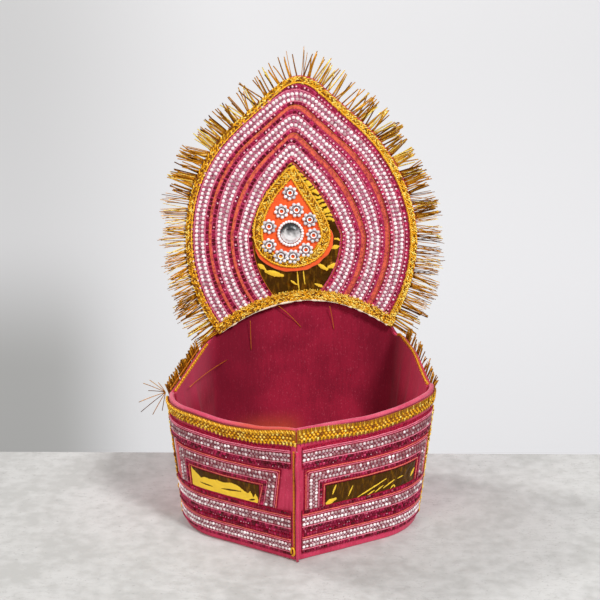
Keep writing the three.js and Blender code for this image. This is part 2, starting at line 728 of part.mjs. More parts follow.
/** Fringe along part of one half of the leaf, in line with the plate. */
function leafFringe(side, { from, to }) {
  const half = leafHalf(side, -GAP, 0, archHeight);
  const { length, locks: count, foot, tip } = LEAF_FRINGE;
  const middle = -LEAF / 2;
  const ringAt = (at, reach) => {
    const t = lerp(from, to, at);
    const start = half(t);
    const along = half(t + TANGENT_STEP).sub(half(t - TANGENT_STEP)).normalize();
    const out = new THREE.Vector2(along.y, -along.x).multiplyScalar(side * reach * length);
    const end = start.clone().add(out);
    return [
      leafPoint(start, middle + foot / 2),
      leafPoint(end, middle + tip / 2),
      leafPoint(end, middle - tip / 2),
      leafPoint(start, middle - foot / 2),
    ];
  };
  return locks(count, ringAt);
}

/** Short fringe on the outside of the back wall, standing up past its top edge. */
function sideFringe(side) {
  const { length, locks: count, foot, tip, below, flare, from, to } = SIDE_FRINGE;
  const ringAt = (at, reach) => {
    const s = lerp(from, to, at);
    const low = wallTop(side, s) - below;
    const high = low + length * reach;
    const swing = GAP + flare * reach;
    return [
      bandPoint(backPlan, side, s, low, GAP + foot),
      bandPoint(backPlan, side, s, high, swing + tip),
      bandPoint(backPlan, side, s, high, swing),
      bandPoint(backPlan, side, s, low, GAP),
    ];
  };
  return locks(count, ringAt);
}

SIDES.forEach(({ name, side }) => {
  LEAF_FRINGE_RUNS.forEach((run) => {
    piece(`leaf_fringe_${run.name}_${name}`, leafFringe(side, run), FINISH.tinsel);
  });
  piece(`side_fringe_${name}`, sideFringe(side), FINISH.tinsel);
});

const box = new THREE.Box3().setFromObject(crown, true);
const middle = box.getCenter(new THREE.Vector3());
body.position.set(-middle.x, -middle.y, -box.min.z);

export default crown;
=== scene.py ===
"""Dresses the mukut crown for its portrait.

The crown's surfaces are laid out here in millimetres as its construction has them. Each piece is cut
flat, wrapped on its surface and dressed: padded cloth boards, a folded lining, stone galloons, gold
braid and lace, crinkled foil, felt, a mirror jewel and a tinsel fringe.
"""

from __future__ import annotations

import logging
import math
from collections.abc import Callable, Iterator, Sequence
from contextlib import contextmanager
from dataclasses import dataclass
from enum import Enum
from functools import cached_property
from typing import TypeVar

import bpy
import numpy as np
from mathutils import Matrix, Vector

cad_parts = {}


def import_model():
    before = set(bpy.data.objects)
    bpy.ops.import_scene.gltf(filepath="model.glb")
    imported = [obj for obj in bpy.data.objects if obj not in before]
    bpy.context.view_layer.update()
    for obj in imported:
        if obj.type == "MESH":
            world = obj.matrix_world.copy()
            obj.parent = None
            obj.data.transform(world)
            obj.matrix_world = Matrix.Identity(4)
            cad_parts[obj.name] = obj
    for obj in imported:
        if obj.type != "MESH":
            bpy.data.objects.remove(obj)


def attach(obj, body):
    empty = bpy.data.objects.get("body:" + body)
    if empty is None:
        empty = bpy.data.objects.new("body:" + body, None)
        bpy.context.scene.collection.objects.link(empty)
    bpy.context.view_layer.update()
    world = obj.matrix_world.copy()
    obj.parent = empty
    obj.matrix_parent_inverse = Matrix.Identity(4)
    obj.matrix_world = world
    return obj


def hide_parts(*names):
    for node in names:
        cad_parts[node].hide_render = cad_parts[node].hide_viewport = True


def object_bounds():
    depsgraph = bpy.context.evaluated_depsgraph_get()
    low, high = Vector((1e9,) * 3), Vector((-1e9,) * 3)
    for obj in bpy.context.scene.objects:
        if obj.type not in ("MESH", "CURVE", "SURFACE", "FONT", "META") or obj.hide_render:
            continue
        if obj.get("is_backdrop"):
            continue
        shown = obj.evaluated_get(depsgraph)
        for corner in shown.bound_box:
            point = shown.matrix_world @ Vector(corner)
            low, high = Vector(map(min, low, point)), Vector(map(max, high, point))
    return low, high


LOG = logging.getLogger("crown")
Array = np.ndarray
Object = bpy.types.Object
Material = bpy.types.Material
Socket = bpy.types.NodeSocket
Hand = np.random.Generator
Pair = tuple[float, float]
Colour = tuple[float, float, float, float]
Wrap = Callable[[Array], Array]
Own = TypeVar("Own")

MM = 0.001
ORIGIN = np.array([-0.281, 1.762, 0.0])  # from the layout's millimetres to the middle of the crown's box
FLARE = 0.00128  # growth of the crown's plan for each millimetre of height
SEED = 11


class Side(Enum):
    """The two sides of the crown, as seen from the front."""

    LEFT = -1
    RIGHT = 1

    @property
    def label(self) -> str:
        """The side's word in the pieces' names."""
        return self.name.lower()

    def of(self, pair: tuple[Own, Own]) -> Own:
        """This side's own of a left and a right one."""
        return pair[0 if self is Side.LEFT else 1]


def srgb(red: float, green: float, blue: float) -> Colour:
    """Turns a colour as seen on screen, 0 to 255, into the linear light that shaders take.

    Args:
        red: The red value.
        green: The green value.
        blue: The blue value.

    Returns:
        The linear colour with full alpha.
    """
    shares = (red / 255, green / 255, blue / 255)
    linear = [c / 12.92 if c <= 0.04045 else ((c + 0.055) / 1.055) ** 2.4 for c in shares]
    return (linear[0], linear[1], linear[2], 1.0)


def hand(seed: int) -> Hand:
    """The hand that works a little unevenly, in the same way each time."""
    return np.random.default_rng(SEED + seed)


def grow(z: Array) -> Array:
    """How much wider the crown's plan is at a height."""
    return 1 + FLARE * z


def unit(vectors: Array) -> Array:
    """Vectors brought to a length of one."""
    return vectors / np.maximum(np.linalg.norm(vectors, axis=-1, keepdims=True), 1e-12)


def lerp(low: Array, high: Array, share: Array) -> Array:
    """A value between two others."""
    return low + (high - low) * share


def ease(low: float, high: float, x: Array) -> Array:
    """A soft step from 0 at low to 1 at high."""
    t = np.clip((x - low) / (high - low), 0, 1)
    return t * t * (3 - 2 * t)


def stack(*parts: Array | float) -> Array:
    """Columns of numbers set side by side as points."""
    return np.stack(np.broadcast_arrays(*parts), axis=-1).astype(float)


def ripple(points: Array, size: float, seed: int) -> Array:
    """A smooth made-up unevenness between about -1 and 1.

    Args:
        points: Places in millimetres, any number of columns.
        size: Length of the waves in millimetres.
        seed: Which unevenness.

    Returns:
        One number for each place.
    """
    rng = np.random.default_rng(seed)
    total = np.zeros(points.shape[:-1])
    for _ in range(6):
        heading = unit(rng.normal(size=points.shape[-1]))
        beat = 2 * math.pi / (size * rng.uniform(0.7, 1.5))
        total += np.sin(points @ heading * beat + rng.uniform(0, 2 * math.pi))
    return total / 3


@dataclass(frozen=True)
class Line:
    """A line through points on a flat layout, measured along its length."""

    points: Array

    @cached_property
    def stops(self) -> Array:
        """Distance of each point from the start."""
        steps = np.linalg.norm(np.diff(self.points, axis=0), axis=1)
        return np.concatenate([[0.0], np.cumsum(steps)])

    @property
    def length(self) -> float:
        """The line's whole length."""
        return float(self.stops[-1])

    def at(self, along: Array) -> Array:
        """Points at distances along the line."""
        return stack(*(np.interp(along, self.stops, column) for column in self.points.T))

    def heading(self, along: Array, reach: float = 0.5) -> Array:
        """Directions of the line at distances along it."""
        return unit(self.at(np.asarray(along) + reach) - self.at(np.asarray(along) - reach))

    def spaced(self, pitch: float, shift: float = 0.0) -> Array:
        """Distances along the line about a pitch apart, moved on by a share of it."""
        count = max(1, round(self.length / pitch))
        return (np.arange(count) + 0.5 + shift) * self.length / count


# The crown's surfaces


@dataclass(frozen=True)
class FrontForm:
    """The two front panels laid out flat: x from the ridge, below zero on the left, y up, z off the cloth."""

    seam_x: float = 80.5
    seam_y: float = -12.0
    ridge_y: float = -86.0
    turn: float = math.radians(30)
    sway: float = -2.0
    rim_ridge: float = 97.5
    rim_seam: float = 90.0
    rim_fall: float = 1.5
    sag: tuple[float, ...] = (3.9, 30.0, 46.0, 78.0)
    kick: tuple[float, ...] = (7.0, 42.0, 92.0)
    rim_share: float = 1.5

    @cached_property
    def bend(self) -> float:
        """Radius of the bend towards the side seam.

        Returns:
            A length in millimetres.
        """
        reach = self.seam_y - self.ridge_y
        slope = math.sin(self.turn)
        return (reach * math.cos(self.turn) - self.seam_x * slope) / (1 - slope)

    @cached_property
    def straight(self) -> float:
        """Length of the straight run from the ridge."""
        reach = self.seam_y - self.ridge_y
        return self.seam_x * math.cos(self.turn) / (1 - math.sin(self.turn)) - reach

    @cached_property
    def length(self) -> float:
        """Length of a panel from the ridge to the seam."""
        return self.straight + self.bend * (math.pi / 2 - self.turn)

    def rim(self, flat_x: Array) -> Array:
        """Height of the front rim, which sags on the left and turns up towards the right seam.

        Args:
            flat_x: Places along the panels from the ridge.

        Returns:
            The heights in millimetres.
        """
        s = np.clip(np.abs(flat_x), 0, self.length)
        fall = lerp(self.rim_ridge, self.rim_seam, (s / self.length) ** self.rim_fall)
        depth, full, start, end = self.sag
        height, low, high = self.kick
        sag = depth * ease(0, full, s) * ease(end, start, s)
        return fall + np.where(flat_x < 0, -sag, height * ease(low, high, s))

    def at_height(self, flat: Array) -> Array:
        """Wraps places whose heights are true heights.

        Args:
            flat: Places on the layout.

        Returns:
            Points in millimetres.
        """
        side = np.where(flat[..., 0] < 0, -1.0, 1.0)
        s = np.clip(np.abs(flat[..., 0]), 0, self.length)
        angle = self.turn - math.pi / 2 + np.maximum(s - self.straight, 0) / self.bend
        run = np.minimum(s, self.straight)
        bent = s > self.straight
        arc_x = self.seam_x - self.bend + self.bend * np.cos(angle)
        arc_y = self.seam_y + self.bend * np.sin(angle)
        foot_x = np.where(bent, arc_x, run * math.cos(self.turn))
        foot_y = np.where(bent, arc_y, self.ridge_y + run * math.sin(self.turn))
        z, lift = flat[..., 1], flat[..., 2]
        x = side * (foot_x * grow(z) + np.cos(angle) * lift) + self.sway * (1 - s / self.length)
        return stack(x, foot_y * grow(z) + np.sin(angle) * lift, z)

    def wrap(self, flat: Array) -> Array:
        """Wraps places whose heights are those at the ridge, and follow the rim along the panel.

        Args:
            flat: Places on the layout.

        Returns:
            Points in millimetres.
        """
        shift = self.rim(flat[..., 0]) - self.rim_ridge
        share = np.abs(flat[..., 1] / self.rim_ridge) ** self.rim_share
        return self.at_height(stack(flat[..., 0], flat[..., 1] + shift * share, flat[..., 2]))


@dataclass(frozen=True)
class LeafForm:
    """The leaf laid out flat: x across, y up, z off its front face."""

    back_y: float = 72.0
    back_r: float = 190.0
    face: float = 8.2
    half_width: float = 81.5
    waist: float = 174.0
    upper_r: float = 106.0
    lower_r: float = 118.0
    flank: float = math.radians(40.8)
    blunt: float = 19.6
    blunt_fade: float = 26.0
    soft: tuple[float, float, float] = (8.0, 9.5, 5.0)
    pull: Pair = (0.5, 0.45)
    pull_run: Pair = (18.0, 50.0)
    sway: float = -1.8
    sway_run: Pair = (170.0, 235.0)
    arch_mid: float = 126.5
    arch_half: float = 63.5
    arch_rise: float = 20.3
    arch_tilt: float = 0.07
    arch_braid: float = 6.8

    @cached_property
    def sharp_tip(self) -> float:
        """Height at which the two flanks would meet.

        Returns:
            A length in millimetres.
        """
        normal = math.pi / 2 - self.flank
        end = self.half_width - self.upper_r + self.upper_r * math.cos(normal)
        return self.waist + self.upper_r * math.sin(normal) + end * math.tan(self.flank)

    def wrap(self, flat: Array) -> Array:
        """Points in millimetres for places on the layout.

        Args:
            flat: Places on the layout.

        Returns:
            Points in millimetres.
        """
        z, lift = flat[..., 1], flat[..., 2]
        x = flat[..., 0] + self.sway * ease(*self.sway_run, z)
        g = grow(z)
        wall = g * (self.back_y - self.back_r) + np.sqrt((g * self.back_r) ** 2 - x**2)
        return stack(x, wall - self.face - lift, z)

    def arch(self, x: Array) -> Array:
        """Height of the arched foot."""
        return self.arch_mid + self.arch_tilt * x - self.arch_rise * (x / self.arch_half) ** 2

    def flank_line(self, side: Side, inset: float, rise: float, tip: Array) -> Array:
        """One side of an outline, up to its straight flank.

        Args:
            side: The side.
            inset: How far it lies inside the leaf's edge.
            rise: Height of the foot line over the arch.
            tip: The outline's tip, towards which a trim far inside is pulled straight.

        Returns:
            Points from the foot up.
        """
        turns = np.linspace(-math.pi / 3, 0, 400)
        low_x = self.half_width - self.lower_r + (self.lower_r - inset) * np.cos(turns)
        low_y = self.waist + (self.lower_r - inset) * np.sin(turns)
        above = low_y > self.arch(side.value * low_x) + rise
        turns = np.linspace(0, math.pi / 2 - self.flank, 60)[1:]
        up_x = self.half_width - self.upper_r + (self.upper_r - inset) * np.cos(turns)
        up_y = self.waist + (self.upper_r - inset) * np.sin(turns)
        taut = lerp(self.half_width - inset, side.value * tip[0], (up_y - self.waist) / (tip[1] - self.waist))
        pull = side.of(self.pull) * ease(*self.pull_run, inset)
        up_x = lerp(up_x, taut, pull * ease(0, 6, up_y - self.waist))
        points = np.concatenate([stack(low_x[above], low_y[above]), stack(up_x, up_y)])
        return points * np.array([side.value, 1.0])

    def outline(self, left: float, right: float, rise: float | None = None) -> Line:
        """The outline from the left foot over the blunt tip to the right foot.

        Args:
            left: Inset on the left.
            right: Inset on the right.
            rise: Height of the foot line over the arch, the arch braid's own height if none is given.

        Returns:
            The line.
        """
        foot = self.arch_braid if rise is None else rise
        mean = (left + right) / 2
        tip_x = (left - right) / (2 * math.sin(self.flank))
        tip = np.array([tip_x, self.sharp_tip - mean / math.cos(self.flank)])
        flanks = [self.flank_line(side, inset, foot, tip) for side, inset in zip(Side, (left, right))]
        more, deep, spread = self.soft
        reach = self.blunt * math.exp(-mean / self.blunt_fade)
        reach += more * math.exp(-(((mean - deep) / spread) ** 2))
        ends = [tip + reach * unit(flank[-1] - tip) for flank in flanks]
        share = np.linspace(0, 1, 17)[:, None]
        curve = (1 - share) ** 2 * ends[0] + 2 * share * (1 - share) * tip + share**2 * ends[1]
        return Line(np.concatenate([flanks[0], curve, flanks[1][::-1]]))

    def half(self, side: Side, insets: Pair, rise: float | None = None) -> Line:
        """Half of an outline from its foot to its tip.

        Args:
            side: Which half.
            insets: Insets on the left and the right.
            rise: Height of the foot line over the arch, as for the outline.

        Returns:
            The line.
        """
        points = self.outline(*insets, rise).points
        top = int(np.argmax(points[:, 1]))
        return Line(points[: top + 1] if side is Side.LEFT else points[: top - 1 : -1])

    def closed(self, edge: Line, rise: float, steps: int, foot_steps: int) -> Array:
        """Closes an outline along the arched foot.

        Args:
            edge: The outline.
            rise: Height of the foot line over the arch.
            steps: How many points the outline gets.
            foot_steps: How many points the foot gets, with its two ends.

        Returns:
            Points all round.
        """
        x = np.linspace(edge.points[-1, 0], edge.points[0, 0], foot_steps)[1:-1]
        foot = stack(x, self.arch(x) + rise)
        return np.concatenate([edge.at(np.linspace(0, edge.length, steps)), foot])


@dataclass(frozen=True)
class BackForm:
    """The back wall laid out flat as seen from behind: x from its middle, above zero on the left."""

    leaf: LeafForm
    seam_x: float = 80.5
    seam_y: float = -12.0
    lean: float = math.radians(14)
    corner_r: float = 15.0
    top_seams: Pair = (88.0, 94.0)
    top_corner: float = 96.0
    lap: float = 7.0
    bulge: float = 9.5
    bulge_run: tuple[float, float, float, float] = (2.0, 42.0, 64.0, 82.0)

    @cached_property
    def side_run(self) -> float:
        """Length of the straight side, up to where the corner's circle touches the back's circle.

        Returns:
            A length in millimetres.
        """
        start = self.corner_start
        half_b = float(start @ self.heading)
        radius = self.leaf.back_r - self.corner_r
        return math.sqrt(half_b**2 - float(start @ start) + radius**2) - half_b

    @cached_property
    def heading(self) -> Array:
        """Direction of the straight side away from its seam."""
        return np.array([-math.sin(self.lean), math.cos(self.lean)])

    @cached_property
    def centre(self) -> Array:
        """Centre of the back's circle."""
        return np.array([0.0, self.leaf.back_y - self.leaf.back_r])

    @cached_property
    def corner_start(self) -> Array:
        """The corner's centre if the side had no length, from the back's centre."""
        inwards = np.array([math.cos(self.lean), math.sin(self.lean)]) * -self.corner_r
        return np.array([self.seam_x, self.seam_y]) + inwards - self.centre

    @cached_property
    def corner(self) -> Array:
        """Centre of the corner's circle."""
        return self.centre + self.corner_start + self.heading * self.side_run

    @cached_property
    def corner_end(self) -> float:
        """Angle at which the corner passes into the back."""
        reach = self.corner - self.centre
        return math.atan2(reach[1], reach[0])

    @cached_property
    def corner_run(self) -> float:
        """Distance from the seam to the end of the corner."""
        return self.side_run + self.corner_r * (self.corner_end - self.lean)

    @cached_property
    def length(self) -> float:
        """Distance from a seam to the middle of the back."""
        return self.corner_run + self.leaf.back_r * (math.pi / 2 - self.corner_end)

    def plan(self, s: Array) -> tuple[Array, Array, Array]:
        """The right half of the plan.

        Args:
            s: Distances from the seam.

        Returns:
            The two coordinates of each point, and the angle at which the wall faces out there.
        """
        run = np.minimum(s, self.side_run)
        angle = self.lean + np.clip(s - self.side_run, 0, self.corner_run - self.side_run) / self.corner_r
        far = self.corner_end + np.maximum(s - self.corner_run, 0) / self.leaf.back_r
        x = self.corner[0] + self.corner_r * np.cos(angle)
        y = self.corner[1] + self.corner_r * np.sin(angle)
        x = np.where(s > self.corner_run, self.centre[0] + self.leaf.back_r * np.cos(far), x)
        y = np.where(s > self.corner_run, self.centre[1] + self.leaf.back_r * np.sin(far), y)
        x = np.where(s < self.side_run, self.seam_x + self.heading[0] * run, x)
        y = np.where(s < self.side_run, self.seam_y + self.heading[1] * run, y)
        return x, y, np.where(s > self.corner_run, far, angle)

    def top(self, flat_x: Array) -> Array:
        """Height of the wall's top edge: up the side, fuller on the right, then up behind the leaf.

        Args:
            flat_x: Places along the wall from its middle.

        Returns:
            The heights in millimetres.
        """
        side = np.where(flat_x > 0, -1.0, 1.0)
        s = self.length - np.abs(flat_x)
        wide = grow(self.leaf.arch_mid)
        behind = self.leaf.arch(side * self.plan(s)[0] * wide) + self.lap
        corner = self.leaf.arch(side * self.plan(np.full_like(s, self.corner_run))[0] * wide) + self.lap
        share = np.clip((s - self.side_run) / (self.corner_run - self.side_run), 0, 1)
        top = lerp(self.top_corner, corner, share**2)
        top = np.where(s > self.corner_run, behind, top)
        seam = np.where(side < 0, *self.top_seams)
        top = np.where(s < self.side_run, lerp(seam, self.top_corner, s / self.side_run), top)
        start, full, last, end = self.bulge_run
        return top + np.where(side < 0, 0.0, self.bulge * ease(start, full, s) * ease(end, last, s))

    def wrap(self, flat: Array) -> Array:
        """Points in millimetres for places on the layout.

        Args:
            flat: Places on the layout.

        Returns:
            Points in millimetres.
        """
        side = np.where(flat[..., 0] > 0, -1.0, 1.0)
        s = np.clip(self.length - np.abs(flat[..., 0]), 0, self.length)
        x, y, facing = self.plan(s)
        z, lift = flat[..., 1], flat[..., 2]
        return stack(side * (x * grow(z) + np.cos(facing) * lift), y * grow(z) + np.sin(facing) * lift, z)

    def spot(self, side: Side, s: Array) -> Array:
        """The layout's x for distances from a side's seam."""
        return -side.value * (self.length - s)


FRONT = FrontForm()
LEAF = LeafForm()
BACK = BackForm(LEAF)


@dataclass(frozen=True)
class Strip:
    """A narrow strip along a line on a surface: x along it, y to its left, z off the surface."""

    line: Line
    form: Wrap

    def wrap(self, flat: Array) -> Array:
        """Points in millimetres for places on the strip.

        Args:
            flat: Places on the strip.

        Returns:
            Points in millimetres.
        """
        heading = self.line.heading(flat[..., 0])
        left = stack(-heading[..., 1], heading[..., 0])
        spot = self.line.at(flat[..., 0]) + left * flat[..., 1:2]
        return self.form(np.concatenate([spot, flat[..., 2:3]], axis=-1))


@dataclass(frozen=True)
class Tapered(Strip):
    """A strip whose width changes along its line."""

    wide: Callable[[Array], Array]

    def wrap(self, flat: Array) -> Array:
        """Points in millimetres for places on the strip."""
        return super().wrap(stack(flat[..., 0], flat[..., 1] * self.wide(flat[..., 0]), flat[..., 2]))


@dataclass(frozen=True)
class Between:
    """A ribbon between two lines on a surface: x and y are shares along and across it, z is off it."""

    outer: Line
    inner: Line
    form: Wrap

    def wrap(self, flat: Array) -> Array:
        """Points in millimetres for places on the ribbon.

        Args:
            flat: Places on the ribbon.

        Returns:
            Points in millimetres.
        """
        outer = self.outer.at(flat[..., 0] * self.outer.length)
        inner = self.inner.at(flat[..., 0] * self.inner.length)
        spot = lerp(outer, inner, flat[..., 1:2])
        return self.form(np.concatenate([spot, flat[..., 2:3]], axis=-1))


@dataclass(frozen=True)
class Seats:
    """Places on a surface at which copies of a small form sit, with their own axes."""

    origins: Array
    axes: Array

    @classmethod
    def on(cls, form: Wrap, flat: Array, along: Array) -> Seats:
        """Seats that stand up from a surface.

        Args:
            form: The surface.
            flat: Places on its layout.
            along: The direction on the layout in which each seat's x points.

        Returns:
            The seats.
        """
        step = 0.05
        ahead = np.concatenate([along, np.zeros((len(flat), 1))], axis=1) * step
        aside = stack(-ahead[:, 1], ahead[:, 0], ahead[:, 2])
        x = unit(form(flat + ahead) - form(flat - ahead))
        y = form(flat + aside) - form(flat - aside)
        z = unit(np.cross(x, y))
        return cls(form(flat), np.stack([x, np.cross(z, x), z], axis=-1))

    def turned(self, angle: Array | float) -> Seats:
        """The same seats, each turned about its own z.

        Args:
            angle: The angle of each, or of all.

        Returns:
            The turned seats.
        """
        turn = np.broadcast_to(np.asarray(angle, float), len(self.origins))
        cos, sin = np.cos(turn)[:, None], np.sin(turn)[:, None]
        x = self.axes[:, :, 0] * cos + self.axes[:, :, 1] * sin
        y = self.axes[:, :, 1] * cos - self.axes[:, :, 0] * sin
        return Seats(self.origins, np.stack([x, y, self.axes[:, :, 2]], axis=-1))


# The work bench


class Bench:
    """The work bench: primitives, edit-mode operators and applied modifiers, on one object at a time."""

    SHARP = math.radians(50)  # an edge that turns more than this is rounded

    @staticmethod
    def take(*objects: Object) -> None:
        """Selects some objects alone and makes the first one active.

        Args:
            objects: The objects.
        """
        bpy.ops.object.select_all(action="DESELECT")
        for obj in objects:
            obj.select_set(True)
        bpy.context.view_layer.objects.active = objects[0]

    @classmethod
    @contextmanager
    def editing(cls, obj: Object) -> Iterator[None]:
        """Holds an object in edit mode with all of it selected.

        Args:
            obj: The object.

        Yields:
            Nothing, while it is in edit mode.
        """
        cls.take(obj)
        bpy.ops.object.mode_set(mode="EDIT")
        bpy.ops.mesh.select_all(action="SELECT")
        yield
        bpy.ops.object.mode_set(mode="OBJECT")

    @staticmethod
    def added(name: str) -> Object:
        """Names the primitive that was just added.

        Args:
            name: The object's name.

        Returns:
            The object.
        """
        obj = bpy.context.active_object
        obj.name = name
        obj.data.name = name
        return obj

    @classmethod
    def start(cls, name: str, primitive: Callable[..., object], **settings: object) -> Object:
        """Adds a primitive as the only thing selected, and names it.

        Args:
            name: The object's name.
            primitive: The operator that adds it.
            settings: What the operator is given.

        Returns:
            The object.
        """
        bpy.ops.object.select_all(action="DESELECT")
        primitive(**settings)
        return cls.added(name)

    @staticmethod
    def points(obj: Object) -> Array:
        """An object's own points.

        Args:
            obj: The object.

        Returns:
            Three coordinates for each point.
        """
        flat = np.empty(len(obj.data.vertices) * 3)
        obj.data.vertices.foreach_get("co", flat)
        return flat.reshape(-1, 3)

    @staticmethod
    def move(obj: Object, points: Array) -> None:
        """Moves each point of an object to a new place."""
        obj.data.vertices.foreach_set("co", points.astype(np.float32).ravel())
        obj.data.update()

    @classmethod
    def wrap(cls, obj: Object, form: Wrap) -> Object:
        """Wraps a flat object in millimetres on a surface of the crown and turns its faces out.

        Args:
            obj: The object.
            form: The surface.

        Returns:
            The same object.
        """
        cls.move(obj, (form(cls.points(obj)) + ORIGIN) * MM)
        with cls.editing(obj):
            bpy.ops.mesh.normals_make_consistent(inside=False)
        return obj

    @classmethod
    def board(cls, name: str, low: Sequence[float], high: Sequence[float], cells: Sequence[int]) -> Object:
        """A flat board, still in millimetres.

        Args:
            name: Its name.
            low: Its lowest corner.
            high: Its highest corner.
            cells: How many faces it has along x and y.

        Returns:
            The object.
        """
        counts = {"x_subdivisions": cells[0], "y_subdivisions": cells[1]}
        obj = cls.start(name, bpy.ops.mesh.primitive_grid_add, size=1, **counts)
        size = [b - a for a, b in zip(low, high)]
        middle = [(a + b) / 2 for a, b in zip(low, high)]
        with cls.editing(obj):
            bpy.ops.transform.resize(value=(size[0], size[1], 1))
            bpy.ops.transform.translate(value=(middle[0], middle[1], low[2]))
            bpy.ops.mesh.extrude_region_move(TRANSFORM_OT_translate={"value": (0, 0, size[2])})
        return obj

    @classmethod
    def cut(cls, name: str, outline: Array, thick: Sequence[float], rings: int) -> Object:
        """A flat shape cut to an outline, with rings of faces round its middle, still in millimetres.

        Args:
            name: Its name.
            outline: Points of its edge.
            thick: Its lowest and highest z.
            rings: How many rings of faces it has.

        Returns:
            The object.
        """
        disc = bpy.ops.mesh.primitive_circle_add
        obj = cls.start(name, disc, vertices=len(outline), fill_type="NOTHING")
        centre = outline.mean(axis=0)
        cls.move(obj, stack(outline[:, 0], outline[:, 1], thick[0]))
        shares = np.linspace(1, 0, rings + 1)[:-1]
        with cls.editing(obj):
            for before, after in zip(shares, shares[1:]):
                bpy.ops.mesh.extrude_region_move(TRANSFORM_OT_translate={"value": (0, 0, 0)})
                ratio = float(after / before)
                middle = (float(centre[0]), float(centre[1]), thick[0])
                bpy.ops.transform.resize(value=(ratio, ratio, 1), center_override=middle)
            bpy.ops.mesh.edge_face_add()
            bpy.ops.mesh.poke()
            bpy.ops.mesh.select_all(action="SELECT")
            bpy.ops.mesh.extrude_region_move(TRANSFORM_OT_translate={"value": (0, 0, thick[1] - thick[0])})
        return obj

    @classmethod
    def modify(cls, obj: Object, kind: str, **settings: object) -> Object:
        """Adds a modifier, sets it and applies it.

        Args:
            obj: The object.
            kind: The modifier's type.
            settings: What is set on it.

        Returns:
            The same object.
        """
        cls.take(obj)
        modifier = obj.modifiers.new(kind.lower(), kind)
        for key, value in settings.items():
            setattr(modifier, key, value)
        bpy.ops.object.modifier_apply(modifier=modifier.name)
        return obj

    @classmethod
    def round_edges(cls, obj: Object, width: float) -> Object:
        """Rounds the sharp edges of an object."""
        return cls.modify(obj, "BEVEL", width=width, segments=3, limit_method="ANGLE", angle_limit=cls.SHARP)

    @classmethod
    def smooth(cls, obj: Object, degrees: float = 60) -> Object:
        """Shades an object smooth, apart from its sharp edges.

        Args:
            obj: The object.
            degrees: The angle from which an edge counts as sharp.

        Returns:
            The same object.
        """
        cls.take(obj)
        bpy.ops.object.shade_smooth_by_angle(angle=math.radians(degrees))
        return obj

    @staticmethod
    def mesh(name: str, points: Array, faces: list[tuple[int, ...]]) -> Object:
        """A new object from points in the layout's millimetres and faces.

        Args:
            name: The object's name.
            points: Its points.
            faces: Its faces, as places in the list of points.

        Returns:
            The object.
        """
        data = bpy.data.meshes.new(name)
        data.from_pydata(((points + ORIGIN) * MM).tolist(), [], faces)
        obj = bpy.data.objects.new(name, data)
        bpy.context.scene.collection.objects.link(obj)
        return obj

    @staticmethod
    def mark(obj: Object, name: str, values: Array) -> None:
        """Writes one number for each point of an object, for its finish to read."""
        layer = obj.data.attributes.new(name, "FLOAT", "POINT")
        layer.data.foreach_set("value", values.astype(np.float32))

    @classmethod
    def join(cls, name: str, parts: Sequence[Object]) -> Object:
        """Joins some objects into one, which keeps their finishes.

        Args:
            name: The object's name.
            parts: The objects to join.

        Returns:
            The object.
        """
        cls.take(*parts)
        if len(parts) > 1:
            bpy.ops.object.join()
        return cls.added(name)


@dataclass(frozen=True)
class Small:
    """A small form that is modelled once and copied to many places, in millimetres."""

    points: Array
    faces: list[tuple[int, ...]]

    @classmethod
    def taken(cls, obj: Object) -> Small:
        """Takes the form from the bench, where nothing of it is left.

        Args:
            obj: The object.

        Returns:
            The form.
        """
        faces = [tuple(face.vertices) for face in obj.data.polygons]
        small = cls(Bench.points(obj), faces)
        bpy.data.objects.remove(obj)
        return small

    @classmethod
    def cut(cls, sides: int, radius: float, steps: Sequence[Pair], turn: float = 0.0) -> Small:
        """Models a cut stone from a disc that is drawn up and drawn in.

        Args:
            sides: How many facets it has.
            radius: Its radius.
            steps: Heights from its girdle to its table, each with the width there as a share of the base.
            turn: Angle by which it is turned.

        Returns:
            The stone.
        """
        disc = bpy.ops.mesh.primitive_circle_add
        obj = Bench.start("stone", disc, vertices=sides, radius=radius, fill_type="NGON")
        before = (0.0, 1.0)
        with Bench.editing(obj):
            bpy.ops.transform.rotate(value=turn, orient_axis="Z", center_override=(0, 0, 0))
            for height, share in steps:
                rise = {"value": (0, 0, height - before[0])}
                bpy.ops.mesh.extrude_region_move(TRANSFORM_OT_translate=rise)
                ratio = share / before[1]
                bpy.ops.transform.resize(value=(ratio, ratio, 1), center_override=(0, 0, height))
                before = (height, share)
        return cls.taken(obj)

    def copies(self, name: str, seats: Seats, size: Array | float = 1.0, tone: Array | None = None) -> Object:
        """Sets a copy on each seat.

        Args:
            name: The object's name.
            seats: The places.
            size: Scale of the copies.
            tone: A number for each copy, which its finish reads.

        Returns:
            One object with all the copies.
        """
        count = len(seats.origins)
        scale = np.broadcast_to(np.asarray(size, float), count)[:, None, None]
        spread = np.einsum("nij,kj->nki", seats.axes, self.points) * scale
        points = (seats.origins[:, None, :] + spread).reshape(-1, 3)
        step = len(self.points)
        faces = [tuple(k + i * step for k in face) for i in range(count) for face in self.faces]
        obj = Bench.mesh(name, points, faces)
        if tone is not None:
            Bench.mark(obj, "tone", np.repeat(tone, step))
        return obj


